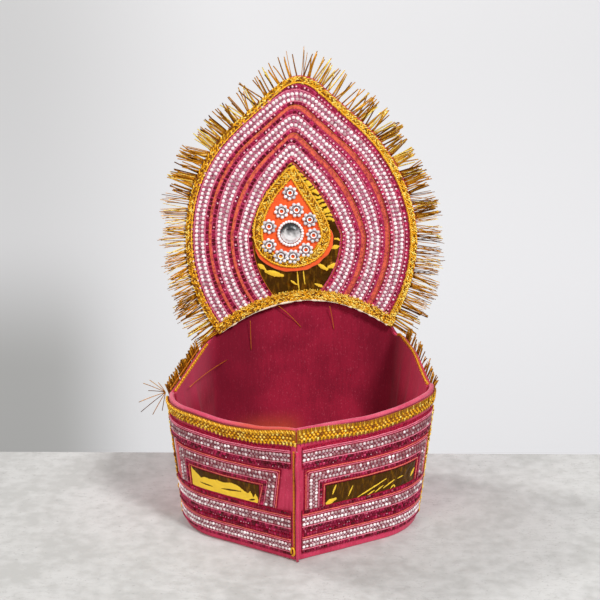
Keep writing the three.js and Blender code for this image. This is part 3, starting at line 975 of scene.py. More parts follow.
@dataclass(frozen=True)
class Yarn:
    """A thread of even thickness, in millimetres."""

    radius: float
    sides: int = 6
    flat: float = 1.0

    def laid(self, name: str, paths: Array, taper: Array | float = 1.0, tone: Array | None = None) -> Object:
        """Lays threads along paths that all have the same number of points.

        Args:
            name: The object's name.
            paths: Points in millimetres, for each thread and each stop along it.
            taper: Scale of the thickness at each stop.
            tone: A number for each thread, which its finish reads.

        Returns:
            One object with all the threads.
        """
        count, stops, _ = paths.shape
        ahead = unit(np.gradient(paths, axis=1))
        mean = np.abs(unit(paths[:, -1] - paths[:, 0]))
        across = np.eye(3)[np.argmin(mean, axis=1)][:, None, :]
        side = unit(np.cross(ahead, across))
        over = np.cross(side, ahead)
        turns = np.linspace(0, 2 * math.pi, self.sides, endpoint=False)
        thick = np.broadcast_to(np.asarray(taper, float), (count, stops))[:, :, None, None] * self.radius
        ring = np.cos(turns)[:, None] * side[:, :, None, :]
        ring = ring + np.sin(turns)[:, None] * self.flat * over[:, :, None, :]
        points = paths[:, :, None, :] + ring * thick
        quads = []
        for j in range(self.sides):
            k = (j + 1) % self.sides
            quads.append([j, k, k + self.sides, j + self.sides])
        spans = np.array(quads)[None, :, :] + np.arange(stops - 1)[:, None, None] * self.sides
        caps = [list(range(self.sides))[::-1], [(stops - 1) * self.sides + j for j in range(self.sides)]]
        faces = []
        for i in range(count):
            start = i * stops * self.sides
            faces.extend(map(tuple, (spans.reshape(-1, 4) + start).tolist()))
            faces.extend(tuple(k + start for k in cap) for cap in caps)
        obj = Bench.mesh(name, points.reshape(-1, 3), faces)
        if tone is not None:
            Bench.mark(obj, "tone", np.repeat(tone, stops * self.sides))
        obj.data.shade_smooth()
        return obj


# Finishes


@dataclass(frozen=True)
class Value:
    """A number that varies over a surface: arithmetic on it adds Math nodes."""

    mixer: Mixer
    socket: Socket

    def _math(self, operation: str, *terms: Value | float) -> Value:
        """Adds a Math node with these terms."""
        inputs = {i: term.socket if isinstance(term, Value) else term for i, term in enumerate(terms)}
        return self.mixer.value(self.mixer.node("ShaderNodeMath", {"operation": operation}, inputs))

    def __add__(self, other: Value | float) -> Value:
        """The sum."""
        return self._math("ADD", self, other)

    __radd__ = __add__

    def __sub__(self, other: Value | float) -> Value:
        """The difference."""
        return self._math("SUBTRACT", self, other)

    def __rsub__(self, other: float) -> Value:
        """The difference, with a number first."""
        return self._math("SUBTRACT", other, self)

    def __mul__(self, other: Value | float) -> Value:
        """The product."""
        return self._math("MULTIPLY", self, other)

    __rmul__ = __mul__

    def wave(self) -> Value:
        """The sine."""
        return self._math("SINE", self)

    def rise(self, low: float, high: float) -> Value:
        """A soft step from 0 at low to 1 at high.

        Args:
            low: Where it starts.
            high: Where it is full.

        Returns:
            The step.
        """
        settings = {"interpolation_type": "SMOOTHSTEP"}
        inputs = {"Value": self.socket, "From Min": low, "From Max": high}
        return self.mixer.value(self.mixer.node("ShaderNodeMapRange", settings, inputs))


class Mixer:
    """A finish while it is being mixed: the nodes of one material."""

    MIX_A = 6  # sockets of a colour Mix node
    MIX_B = 7
    MIX_RESULT = 2

    def __init__(self, name: str) -> None:
        """Starts an empty material with a name.

        Args:
            name: The material's name.
        """
        self.material = bpy.data.materials.new(name)
        self.material.use_nodes = True
        self.tree = self.material.node_tree
        self.tree.nodes.clear()

    def node(
        self,
        kind: str,
        settings: dict[str, object] | None = None,
        inputs: dict[str | int, object] | None = None,
    ) -> bpy.types.Node:
        """Adds a node.

        Args:
            kind: The node's type.
            settings: What is set on the node itself, before its sockets.
            inputs: A value or a link for sockets by name or place.

        Returns:
            The node.
        """
        node = self.tree.nodes.new(kind)
        for key, setting in (settings or {}).items():
            setattr(node, key, setting)
        for key, given in (inputs or {}).items():
            socket = given.socket if isinstance(given, Value) else given
            if isinstance(socket, Socket):
                self.tree.links.new(socket, node.inputs[key])
            else:
                node.inputs[key].default_value = socket
        return node

    def value(self, node: bpy.types.Node, output: str | int = 0) -> Value:
        """Wraps one output of a node."""
        return Value(self, node.outputs[output])

    def place(self, stretch: Sequence[float] = (1, 1, 1)) -> Socket:
        """Places on the object in metres, stretched along its axes."""
        spot = self.node("ShaderNodeTexCoord").outputs["Object"]
        return self.node("ShaderNodeMapping", None, {"Vector": spot, "Scale": tuple(stretch)}).outputs[0]

    def marked(self, name: str) -> Value:
        """The numbers that were written on the object's points."""
        return self.value(self.node("ShaderNodeAttribute", {"attribute_name": name}), "Fac")

    def noise(self, size: float, detail: float = 2.0, stretch: Sequence[float] = (1, 1, 1)) -> Value:
        """Soft noise between 0 and 1, with spots of a size in millimetres."""
        inputs = {"Vector": self.place(stretch), "Scale": 1 / (size * MM), "Detail": detail}
        return self.value(self.node("ShaderNodeTexNoise", None, inputs), "Fac")

    def axis(self, name: str) -> Value:
        """One of the places' axes, in millimetres."""
        spot = self.place((1 / MM, 1 / MM, 1 / MM))
        return self.value(self.node("ShaderNodeSeparateXYZ", None, {0: spot}), name)

    def blend(self, share: Value, low: object, high: object) -> Socket:
        """A colour between two others."""
        inputs = {0: share, self.MIX_A: low, self.MIX_B: high}
        return self.node("ShaderNodeMix", {"data_type": "RGBA"}, inputs).outputs[self.MIX_RESULT]

    def bump(self, height: Value, depth: float) -> Socket:
        """Normals of a relief whose full height is depth, in millimetres."""
        return self.node("ShaderNodeBump", None, {"Height": height, "Distance": depth * MM}).outputs[0]

    def done(self, **inputs: object) -> Material:
        """Closes the material with a shader whose sockets are given by their names, with _ for a space.

        Args:
            inputs: A value or a link for each socket.

        Returns:
            The material.
        """
        named = {key.replace("_", " "): given for key, given in inputs.items()}
        shader = self.node("ShaderNodeBsdfPrincipled", None, named)
        self.node("ShaderNodeOutputMaterial", None, {"Surface": shader.outputs[0]})
        return self.material


@dataclass(frozen=True)
class Finish:
    """What a surface is made of."""

    name: str

    def mixed(self) -> Material:
        """The finish's material, mixed at its first use."""
        found = bpy.data.materials.get(self.name)
        return found or self.mix(Mixer(self.name))

    def mix(self, mixer: Mixer) -> Material:
        """Mixes the material."""
        raise NotImplementedError

    def on(self, obj: Object) -> Object:
        """Puts the finish on an object.

        Args:
            obj: The object.

        Returns:
            The same object.
        """
        obj.data.materials.clear()
        obj.data.materials.append(self.mixed())
        return obj


@dataclass(frozen=True)
class Glow:
    """Light or shade on a cloth: its colour, where it starts, is full and ends, and its strength."""

    colour: Colour
    across: tuple[float, float, float, float]
    height: Pair
    most: float

    def on(self, mixer: Mixer, colour: Socket) -> Socket:
        """A colour with the light or shade on it.

        Args:
            mixer: The material's nodes.
            colour: The cloth's own colour.

        Returns:
            The colour.
        """
        x = mixer.axis("X")
        start, full, last, end = self.across
        share = x.rise(start, full) * x.rise(end, last) * mixer.axis("Z").rise(*self.height)
        return mixer.blend(self.most * share, colour, self.colour)


@dataclass(frozen=True)
class Cloth(Finish):
    """Plain woven cloth with slubs and faint streaks along its warp."""

    colour: Colour
    deep: Colour
    slub: Colour
    # painted light and shade on parts of the cloth
    glows: tuple[Glow, ...] = ()
    weave: float = 0.75
    sheen: float = 0.25
    flecks: float = 0.35

    def mix(self, mixer: Mixer) -> Material:
        """Mixes the cloth.

        Args:
            mixer: The material's nodes.

        Returns:
            The material.
        """
        cloudy = mixer.noise(22, 3.0)
        streaks = mixer.noise(1.3, 2.0, (1, 1, 0.06))
        slubs = mixer.noise(0.8, 1.0, (1, 1, 0.5)).rise(0.62, 0.74)
        shade = ((1 - self.flecks) * cloudy + self.flecks * streaks).rise(0.3, 0.68)
        colour = mixer.blend(self.flecks * slubs, mixer.blend(shade, self.deep, self.colour), self.slub)
        for glow in self.glows:
            colour = glow.on(mixer, colour)
        beat = 2 * math.pi / self.weave
        warp = (mixer.axis("X") * beat).wave() + (mixer.axis("Y") * beat).wave()
        weft = (mixer.axis("Z") * beat).wave()
        relief = 0.12 * (warp * weft) + 0.6 * mixer.noise(0.9, 2.0)
        return mixer.done(
            Base_Color=colour,
            Roughness=0.72 + 0.2 * cloudy,
            Normal=mixer.bump(relief, 0.12),
            Sheen_Weight=self.sheen,
            Sheen_Roughness=0.45,
            Specular_IOR_Level=0.15,
        )


@dataclass(frozen=True)
class Metallic(Finish):
    """Metallised yarn or film, dull and bright by painted shade and painted highlights, laid by noise or by a
    marked tone.
    """

    dark: Colour
    colour: Colour
    bright: Colour
    rough: float = 0.38
    metal: float = 0.45
    grain: float = 1.1
    marked: bool = False

    def mix(self, mixer: Mixer) -> Material:
        """Mixes the metal.

        Args:
            mixer: The material's nodes.

        Returns:
            The material.
        """
        grain = mixer.noise(self.grain, 3.0)
        share = mixer.marked("tone") if self.marked else mixer.noise(9, 2.0)
        tone = 0.6 * share + 0.4 * grain
        colour = mixer.blend(tone.rise(0.2, 0.5), self.dark, self.colour)
        colour = mixer.blend(tone.rise(0.55, 0.85), colour, self.bright)
        return mixer.done(
            Base_Color=colour,
            Metallic=self.metal,
            Roughness=self.rough + 0.2 * grain,
            Normal=mixer.bump(mixer.noise(0.5, 2.0), 0.08),
        )


@dataclass(frozen=True)
class Acrylic(Finish):
    """Cast acrylic stones, each with its own tone between two colours."""

    dull: Colour
    bright: Colour
    rough: float = 0.3
    coat: float = 0.25
    shine: float = 0.5

    def mix(self, mixer: Mixer) -> Material:
        """Mixes the acrylic.

        Args:
            mixer: The material's nodes.

        Returns:
            The material.
        """
        tone = mixer.marked("tone")
        colour = mixer.blend(tone, self.dull, self.bright)
        smear = mixer.noise(1.7, 2.0)
        return mixer.done(
            Base_Color=colour,
            Roughness=self.rough + 0.16 * smear,
            Coat_Weight=self.coat,
            Coat_Roughness=0.2,
            Specular_IOR_Level=self.shine,
        )


@dataclass(frozen=True)
class Thread(Finish):
    """Dyed thread, ribbon or net with a fine cross weave."""

    dark: Colour
    colour: Colour
    grain: float = 0.9
    rough: float = 0.6

    def mix(self, mixer: Mixer) -> Material:
        """Mixes the thread.

        Args:
            mixer: The material's nodes.

        Returns:
            The material.
        """
        grain = mixer.noise(self.grain, 3.0)
        tone = (0.7 * grain + 0.3 * mixer.noise(7, 2.0)).rise(0.32, 0.62)
        return mixer.done(
            Base_Color=mixer.blend(tone, self.dark, self.colour),
            Roughness=self.rough + 0.25 * grain,
            Normal=mixer.bump(grain, 0.15),
            Sheen_Weight=0.3,
            Sheen_Roughness=0.4,
        )


@dataclass(frozen=True)
class Net(Finish):
    """The net under the stones: one colour where the clear stones sit and another elsewhere."""

    clear: Colour
    other: Colour
    dark: Colour

    def mix(self, mixer: Mixer) -> Material:
        """Mixes the net.

        Args:
            mixer: The material's nodes.

        Returns:
            The material.
        """
        knots = mixer.noise(0.8, 2.0)
        base = mixer.blend(mixer.marked("tone"), self.other, self.clear)
        return mixer.done(
            Base_Color=mixer.blend(knots.rise(0.36, 0.6), self.dark, base),
            Roughness=0.75,
            Normal=mixer.bump(knots, 0.2),
            Specular_IOR_Level=0.05,
        )


@dataclass(frozen=True)
class Foil(Finish):
    """Thin metallised film: its creases catch the light and its hollows go dark, both painted into its colour
    from a glint mark.
    """

    dark: Colour
    middle: Colour
    bright: Colour

    def mix(self, mixer: Mixer) -> Material:
        """Mixes the film.

        Args:
            mixer: The material's nodes.

        Returns:
            The material.
        """
        glint = mixer.marked("glint")
        crumple = mixer.noise(5, 3.0)
        streaks = mixer.noise(2.2, 3.0, (1, 1, 0.25)).rise(0.5, 0.75)
        tone = (glint + 0.9 * (mixer.noise(1.7, 3.0) - 0.5)).rise(0.36, 0.6)
        olive = mixer.blend(0.5 * streaks + 0.2 * crumple, self.dark, self.middle)
        gold = mixer.blend(mixer.noise(6, 2.0).rise(0.35, 0.6), self.middle, self.bright)
        return mixer.done(
            Base_Color=mixer.blend(tone, olive, mixer.blend(0.35 + 0.65 * tone, gold, self.bright)),
            Metallic=0.6 - 0.35 * tone,
            Roughness=0.24 + 0.2 * tone,
            Normal=mixer.bump(crumple, 0.6),
            Specular_IOR_Level=0.25,
        )


@dataclass(frozen=True)
class Felt(Finish):
    """Pressed felt with a short nap."""

    colour: Colour
    deep: Colour

    def mix(self, mixer: Mixer) -> Material:
        """Mixes the felt.

        Args:
            mixer: The material's nodes.

        Returns:
            The material.
        """
        nap = mixer.noise(0.7, 4.0)
        press = mixer.noise(6, 3.0)
        return mixer.done(
            Base_Color=mixer.blend((0.5 * nap + 0.5 * press).rise(0.3, 0.6), self.deep, self.colour),
            Roughness=0.95,
            Normal=mixer.bump(nap, 0.3),
            Sheen_Weight=0.35,
            Sheen_Roughness=0.6,
            Specular_IOR_Level=0.1,
        )


@dataclass(frozen=True)
class Mirror(Finish):
    """Silvered stone with a painted reflection: dark towards its upper edge, silver below."""

    silver: Colour
    dark: Colour
    middle: float

    def mix(self, mixer: Mixer) -> Material:
        """Mixes the silver.

        Args:
            mixer: The material's nodes.

        Returns:
            The material.
        """
        height = mixer.axis("Z") - self.middle
        # painted reflection: dark above the stone's middle, silver below, in blotches
        wear_and_reflection = (0.3 * height + 2.6 * (mixer.noise(3.6, 3.0) - 0.5)).rise(-0.8, 1.2)
        return mixer.done(
            Base_Color=mixer.blend(wear_and_reflection, self.silver, self.dark),
            Metallic=0.35,
            Roughness=0.3,
        )


@dataclass(frozen=True)
class Stone(Finish):
    """The pale cast table top: cloudy, with painted shade greying it towards the left, specks of wear, pits
    and short hairlines.
    """

    pale: Colour
    grey: Colour
    pit: Colour

    def mix(self, mixer: Mixer) -> Material:
        """Mixes the table top.

        Args:
            mixer: The material's nodes.

        Returns:
            The material.
        """
        clouds = mixer.noise(60, 4.0)
        wear_and_reflection = mixer.noise(9, 6.0)
        pits = mixer.noise(2.6, 3.0).rise(0.64, 0.74)
        lines = mixer.noise(7, 5.0, (0.45, 1.2, 1))
        hair = lines.rise(0.485, 0.5) * lines.rise(0.515, 0.5) * clouds.rise(0.45, 0.6)
        # painted shade: the table greys towards the left
        tone = (0.55 * clouds + 0.45 * wear_and_reflection).rise(0.34, 0.62) - 0.55 * mixer.axis("X").rise(-40, -320)
        base = mixer.blend(tone, self.grey, self.pale)
        return mixer.done(
            Base_Color=mixer.blend(0.4 * pits + 0.3 * hair, base, self.pit),
            Roughness=0.55 + 0.25 * wear_and_reflection,
            Normal=mixer.bump(wear_and_reflection, 0.5),
        )


@dataclass(frozen=True)
class Plaster(Finish):
    """A pale wall with painted shade on the left, most of all low down, and a little towards the top; it also
    glows a little by itself.
    """

    pale: Colour
    shade: Colour
    glow: float = 0.28

    def mix(self, mixer: Mixer) -> Material:
        """Mixes the wall.

        Args:
            mixer: The material's nodes.

        Returns:
            The material.
        """
        x, z = mixer.axis("X"), mixer.axis("Z")
        low = x.rise(-290, -470) * z.rise(-280, -560)
        # painted shade: on the left, most of all low down, and a little towards the top
        share = 0.42 * x.rise(-90, -540) + 0.58 * low + 0.2 * z.rise(-450, 150)
        colour = mixer.blend(share, self.pale, self.shade)
        return mixer.done(
            Base_Color=colour, Roughness=0.9, Emission_Color=colour, Emission_Strength=self.glow
        )


# painted orange reflected light on the rim roll, left of the ridge
RIM_ORANGE_REFLECTION = Glow(srgb(206, 84, 52), (-52, -34, -8, -1), (88, 92), 0.7)
# painted light and shade on the lining
LINING_LIGHT_AND_SHADE = (
    # painted shade on the left of the lining
    Glow(srgb(106, 10, 34), (-68, -59, -42, -20), (30, 52), 0.6),
    # painted shade on the right of the lining
    Glow(srgb(104, 8, 32), (38, 54, 64, 73), (24, 46), 0.6),
    # painted light on the lining's left side
    Glow(srgb(204, 72, 102), (-100, -90, -76, -60), (58, 86), 0.66),
    # painted light on the lining's right side
    Glow(srgb(212, 66, 98), (64, 78, 98, 106), (54, 82), 0.76),
    # painted orange reflection low on the lining, left of the middle
    Glow(srgb(212, 92, 50), (-60, -26, -14, 6), (45, 22), 0.62),
)
PINK_CLOTH = Cloth("woven_pink", srgb(217, 64, 101), srgb(184, 42, 74), srgb(230, 122, 142))
# the rim roll's pink cloth painted paler: a painted highlight along the roll, with the painted orange
# reflection on it
LIT_RIM_CLOTH = Cloth("woven_rim", srgb(212, 90, 114), srgb(194, 64, 92), srgb(240, 160, 176), (RIM_ORANGE_REFLECTION,))
LINING_CLOTH = Cloth(
    "woven_lining", srgb(156, 27, 56), srgb(128, 17, 44), srgb(194, 84, 104), LINING_LIGHT_AND_SHADE,
    sheen=0.08, flecks=0.32,
)
GOLD_YARN = Metallic("gold_yarn", srgb(190, 124, 8), srgb(244, 188, 36), srgb(255, 238, 140))
BRAID = Metallic("braided_yarn", srgb(128, 64, 2), srgb(244, 182, 20), srgb(255, 234, 122), marked=True)
GOLD_SHADOW = Metallic(
    "gold_shadow", srgb(112, 66, 4), srgb(164, 106, 10), srgb(196, 136, 24), rough=0.6, metal=0.2
)
ORANGE_YARN = Metallic("orange_yarn", srgb(150, 74, 6), srgb(222, 134, 26), srgb(255, 204, 90))
TINSEL = Metallic(
    "slit_film", srgb(104, 58, 4), srgb(206, 140, 20), srgb(255, 230, 112), rough=0.4, metal=0.75, marked=True
)
CLEAR_STONE = Acrylic("clear_stone", srgb(150, 92, 98), srgb(255, 246, 247))
SMOKE_STONE = Acrylic("smoke_stone", srgb(118, 58, 72), srgb(202, 152, 164))
GARNET_STONE = Acrylic("garnet_stone", srgb(84, 0, 16), srgb(198, 40, 92), coat=0.08, shine=0.2)
# pale stones set on the garnets as their painted highlights
GLINT_STONE = Acrylic("glint_stone", srgb(236, 140, 168), srgb(255, 232, 238))
LEAF_NET = Net("leaf_net", srgb(196, 122, 148), srgb(208, 76, 120), srgb(142, 26, 62))
PANEL_NET = Net("panel_net", srgb(156, 86, 94), srgb(182, 36, 66), srgb(112, 8, 34))
PINK_THREAD = Thread("pink_thread", srgb(198, 70, 100), srgb(240, 134, 158))
CORAL = Thread("coral_thread", srgb(194, 62, 56), srgb(240, 120, 98))
RIBBON = Thread("coral_ribbon", srgb(146, 24, 42), srgb(227, 98, 68), grain=1.7)
CREAM = Thread("cream_thread", srgb(206, 180, 140), srgb(250, 240, 218))
LEAF_FOIL = Foil("crinkled_film", srgb(62, 34, 0), srgb(164, 112, 12), srgb(255, 212, 62))
ORANGE_FELT = Felt("pressed_felt", srgb(246, 98, 34), srgb(228, 74, 18))
WHITE_BEAD = Acrylic("white_bead", srgb(168, 166, 172), srgb(255, 255, 255))
# dark beads set in the flowers' gaps: painted shade
PAINTED_SHADE_BEAD = Acrylic("dark_bead", srgb(80, 78, 86), srgb(144, 142, 150))


def dressed(obj: Object, slot: str, *nodes: str) -> None:
    """Hands a finished piece to the frame.

    Args:
        obj: The piece.
        slot: The record's material slot; not used.
        nodes: The construction's nodes that it stands for.
    """
    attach(obj, "root")
    if nodes:
        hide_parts(*nodes)
    LOG.info("%s: %d faces", obj.name, len(obj.data.polygons))


def padded(board: Object, edge: float, form: Wrap, node: str) -> None:
    """Rounds a board's edges, wraps it on a surface and covers it with padded pink cloth.

    Args:
        board: The board, still flat.
        edge: Radius of its edges.
        form: The surface.
        node: The construction's node that it stands for.
    """
    Bench.round_edges(board, edge)
    Bench.smooth(Bench.wrap(board, form))
    dressed(PINK_CLOTH.on(board), "pink_cloth", node)


# Braids and ropes


def rope(strip: Strip, across: float, lift: float, radius: float, pitch: float) -> Array:
    """Two plies twisted round each other, all along a strip.

    Args:
        strip: What the rope lies on.
        across: Its place across the strip.
        lift: Height of its middle.
        radius: Distance of the plies from its middle.
        pitch: Length of a whole twist.

    Returns:
        Paths of the two plies in millimetres.
    """
    length = strip.line.length
    along = np.linspace(0, length, max(8, int(length / pitch * 7)))
    plies = []
    for phase in (0.0, math.pi):
        turn = along * 2 * math.pi / pitch + phase
        plies.append(strip.wrap(stack(along, across + radius * np.cos(turn), lift + radius * np.sin(turn))))
    return np.array(plies)


def chevrons(strip: Strip, across: float, half: float, pitch: float, lift: float, rng: Hand) -> Array:
    """A row of short uneven yarns laid in chevrons, two for each pitch.

    Args:
        strip: What the row lies on, all along.
        across: The row's middle across the strip.
        half: Half of the row's width.
        pitch: Distance between chevrons.
        lift: Height of the yarns' ends.
        rng: The hand that lays them.

    Returns:
        Paths of the yarns in millimetres.
    """
    length = strip.line.length
    spots = np.arange(0, length, pitch)[:, None]
    share = np.linspace(0, 1, 4)[None, :]
    arms = []
    for side in (-1, 1):
        slip, reach, puff = rng.normal(0, (0.15 * pitch, 0.12, 0.2), (len(spots), 3)).T[:, :, None]
        along = spots + slip + pitch * (1.2 * share + (0.5 if side > 0 else 0.0))
        rise = lift + puff + 0.7 * np.sin(math.pi * np.clip(share * 0.85 + 0.1, 0, 1))
        aside = across + side * half * (1.08 + reach - share * 1.1)
        arms.append(strip.wrap(stack(np.clip(along, 0, length), aside, rise)))
    return np.concatenate(arms)


def running_stitch(line: Line, form: Wrap, lift: float, rng: Hand) -> Array:
    """Short uneven stitches in a row.

    Args:
        line: Where they run.
        form: The surface that they lie on.
        lift: Their height on it.
        rng: The hand that sews them.

    Returns:
        Paths of the stitches in millimetres.
    """
    along = line.spaced(5.2)
    half = rng.uniform(1.0, 1.8, len(along))[:, None]
    share = np.linspace(-1, 1, 5)[None, :]
    spots = line.at(along[:, None] + half * share)
    aside = rng.normal(0, 0.12, (len(along), 1))
    return form(stack(spots[..., 0], spots[..., 1] + aside, lift - math.copysign(0.25, lift) * share**2))


@dataclass(frozen=True)
class GoldBraid:
    """A flat gold braid: rows of chevrons in yarn over a dull backing, with bright cords along it."""

    width: float
    pitch: float = 1.6
    yarn: Yarn = Yarn(0.46, 5)
    rows: int = 2
    cords: tuple[float, ...] = ()

    def build(self, name: str, strip: Strip, base: float = 0.3) -> Object:
        """Lays the braid.

        Args:
            name: The object's name.
            strip: What it lies on.
            base: Height of its underside.

        Returns:
            The object.
        """
        length = strip.line.length
        half = self.width / 2
        cells = (max(12, int(length / 3)), 4)
        edge = half * 0.92
        backing = Bench.board(f"{name}_backing", (0, -edge, base), (length, edge, base + 0.5), cells)
        parts = [GOLD_SHADOW.on(Bench.wrap(backing, strip.wrap))]
        rng = hand(len(name))
        for row in range(self.rows):
            across = self.width * ((row + 0.5) / self.rows - 0.5)
            arms = chevrons(strip, across, half / self.rows, self.pitch, base + 0.45, rng)
            # painted shade: the yarns' tone falls towards the left of the crown
            tone = np.clip(rng.normal(lerp(0.38, 0.72, ease(-70, 40, arms[:, 2, 0])), 0.34), 0, 1)
            parts.append(BRAID.on(self.yarn.laid(f"{name}_yarns", arms, tone=tone)))
        for across in self.cords:
            plies = rope(strip, across, base + 1.2, 0.3, 2.6)
            parts.append(BRAID.on(Yarn(0.4, 5).laid(f"{name}_cord", plies, tone=np.array([0.5, 0.75]))))
        return Bench.join(name, parts)


# The band


@dataclass(frozen=True)
class FrontBand:
    """The two padded front panels, their rolled rim and the fold at the ridge."""

    wall: float = 3.5
    roll_r: float = 1.55
    roll_in: float = 2.0
    gap: float = 0.3
    fold_r: float = 1.1
    fold_x: float = 0.5
    cord_s: float = 1.3
    fold_top: float = 82.0
    cord_ends: Pair = (5.0, 82.0)

    def panel_wrap(self, flat: Array) -> Array:
        """Wraps a panel's board, mitred at the ridge, with its top just under the rolled rim.

        Args:
            flat: Places on the board.

        Returns:
            Points in millimetres.
        """
        s = np.abs(flat[..., 0])
        top = FRONT.rim(flat[..., 0]) - 2 * self.roll_r - self.gap
        share = flat[..., 1] / (FRONT.rim_ridge - 2 * self.roll_r - self.gap)
        inside = s - flat[..., 2] * math.tan(FRONT.turn) * np.clip(1 - s / FRONT.length, 0, 1)
        side = np.where(flat[..., 0] < 0, -1.0, 1.0)
        uneven = 0.12 * ripple(flat[..., :2], 26, 3)
        lift = flat[..., 2] + np.where(flat[..., 2] > -self.wall / 2, uneven, 0)
        return FRONT.at_height(stack(side * inside, share * top, lift))

    def build_panel(self, side: Side) -> None:
        """Cuts a panel's board, rounds its edges and wraps it.

        Args:
            side: The side.
        """
        node = f"front_panel_{side.label}"
        ends = sorted((side.value * self.gap, side.value * FRONT.length))
        high = FRONT.rim_ridge - 2 * self.roll_r - self.gap
        board = Bench.board(f"padded_{node}", (ends[0], 0, -self.wall), (ends[1], high, 0), (70, 40))
        padded(board, 0.9, self.panel_wrap, node)

    def build_roll(self) -> None:
        """Rolls the rim's hem along both panels."""
        x = np.linspace(-FRONT.length + self.gap, FRONT.length - self.gap, 220)
        s = np.abs(x)
        flat = stack(x, FRONT.rim(x) - self.roll_r, -self.roll_in)
        path = FRONT.at_height(flat)
        near = ease(9, 0, s)[:, None]
        inwards = self.roll_in / math.cos(FRONT.turn)
        ridge = stack(FRONT.sway, FRONT.ridge_y * grow(flat[:, 1]) + inwards, flat[:, 1])
        path = lerp(path, lerp(path, ridge, 0.5), near)
        puff = 1 + 0.05 * ripple(stack(x, 0.0), 17, 5)
        roll = Yarn(self.roll_r, 14).laid("rolled_rim", path[None], puff[None])
        dressed(LIT_RIM_CLOTH.on(roll), "pink_cloth", "rim_roll")

    def build_ridge(self) -> None:
        """Folds the seam at the ridge and lays the gold thread beside it."""
        z = np.linspace(0.5, self.fold_top, 30)
        path = stack(FRONT.sway + self.fold_x, FRONT.ridge_y * grow(z) - self.fold_r - self.gap, z)
        path[:, 0] += 0.3 * ripple(z[:, None], 30, 8)
        shape = 0.92 + 0.08 * ripple(z[:, None], 22, 9)
        fold = Yarn(self.fold_r, 12).laid("ridge_seam", path[None], shape[None])
        dressed(PINK_CLOTH.on(fold), "pink_cloth", "ridge_fold")
        strip = Strip(Line(stack(-self.cord_s, np.array(self.cord_ends))), FRONT.wrap)
        plies = rope(strip, 0, 1.0, 0.3, 4.5)
        turn = np.linspace(-0.5, 2 * math.pi - 0.9, 22)
        across = 1.5 * np.sin(turn)
        loop = FRONT.wrap(stack(across - 2, 7.2 - 2.9 * np.cos(turn), 1.5 + 0.3 * across))
        parts = [
            ORANGE_YARN.on(Yarn(0.42).laid("ridge_plies", plies)),
            GOLD_YARN.on(Yarn(0.62).laid("ridge_loop", loop[None])),
        ]
        dressed(Bench.join("ridge_thread", parts), "gold_braid", "ridge_cord")

    def build(self) -> None:
        """Builds the band's front."""
        for side in Side:
            self.build_panel(side)
        self.build_roll()
        self.build_ridge()


@dataclass(frozen=True)
class Fold:
    """A vertical fold of the lining: its place from a side seam, half width and depth."""

    side: Side
    at: float
    half: float
    depth: float


@dataclass(frozen=True)
class LooseThread:
    """A thread that hangs loose on the lining: its two ends as distance from the seam and height."""

    side: Side
    start: Pair
    end: Pair


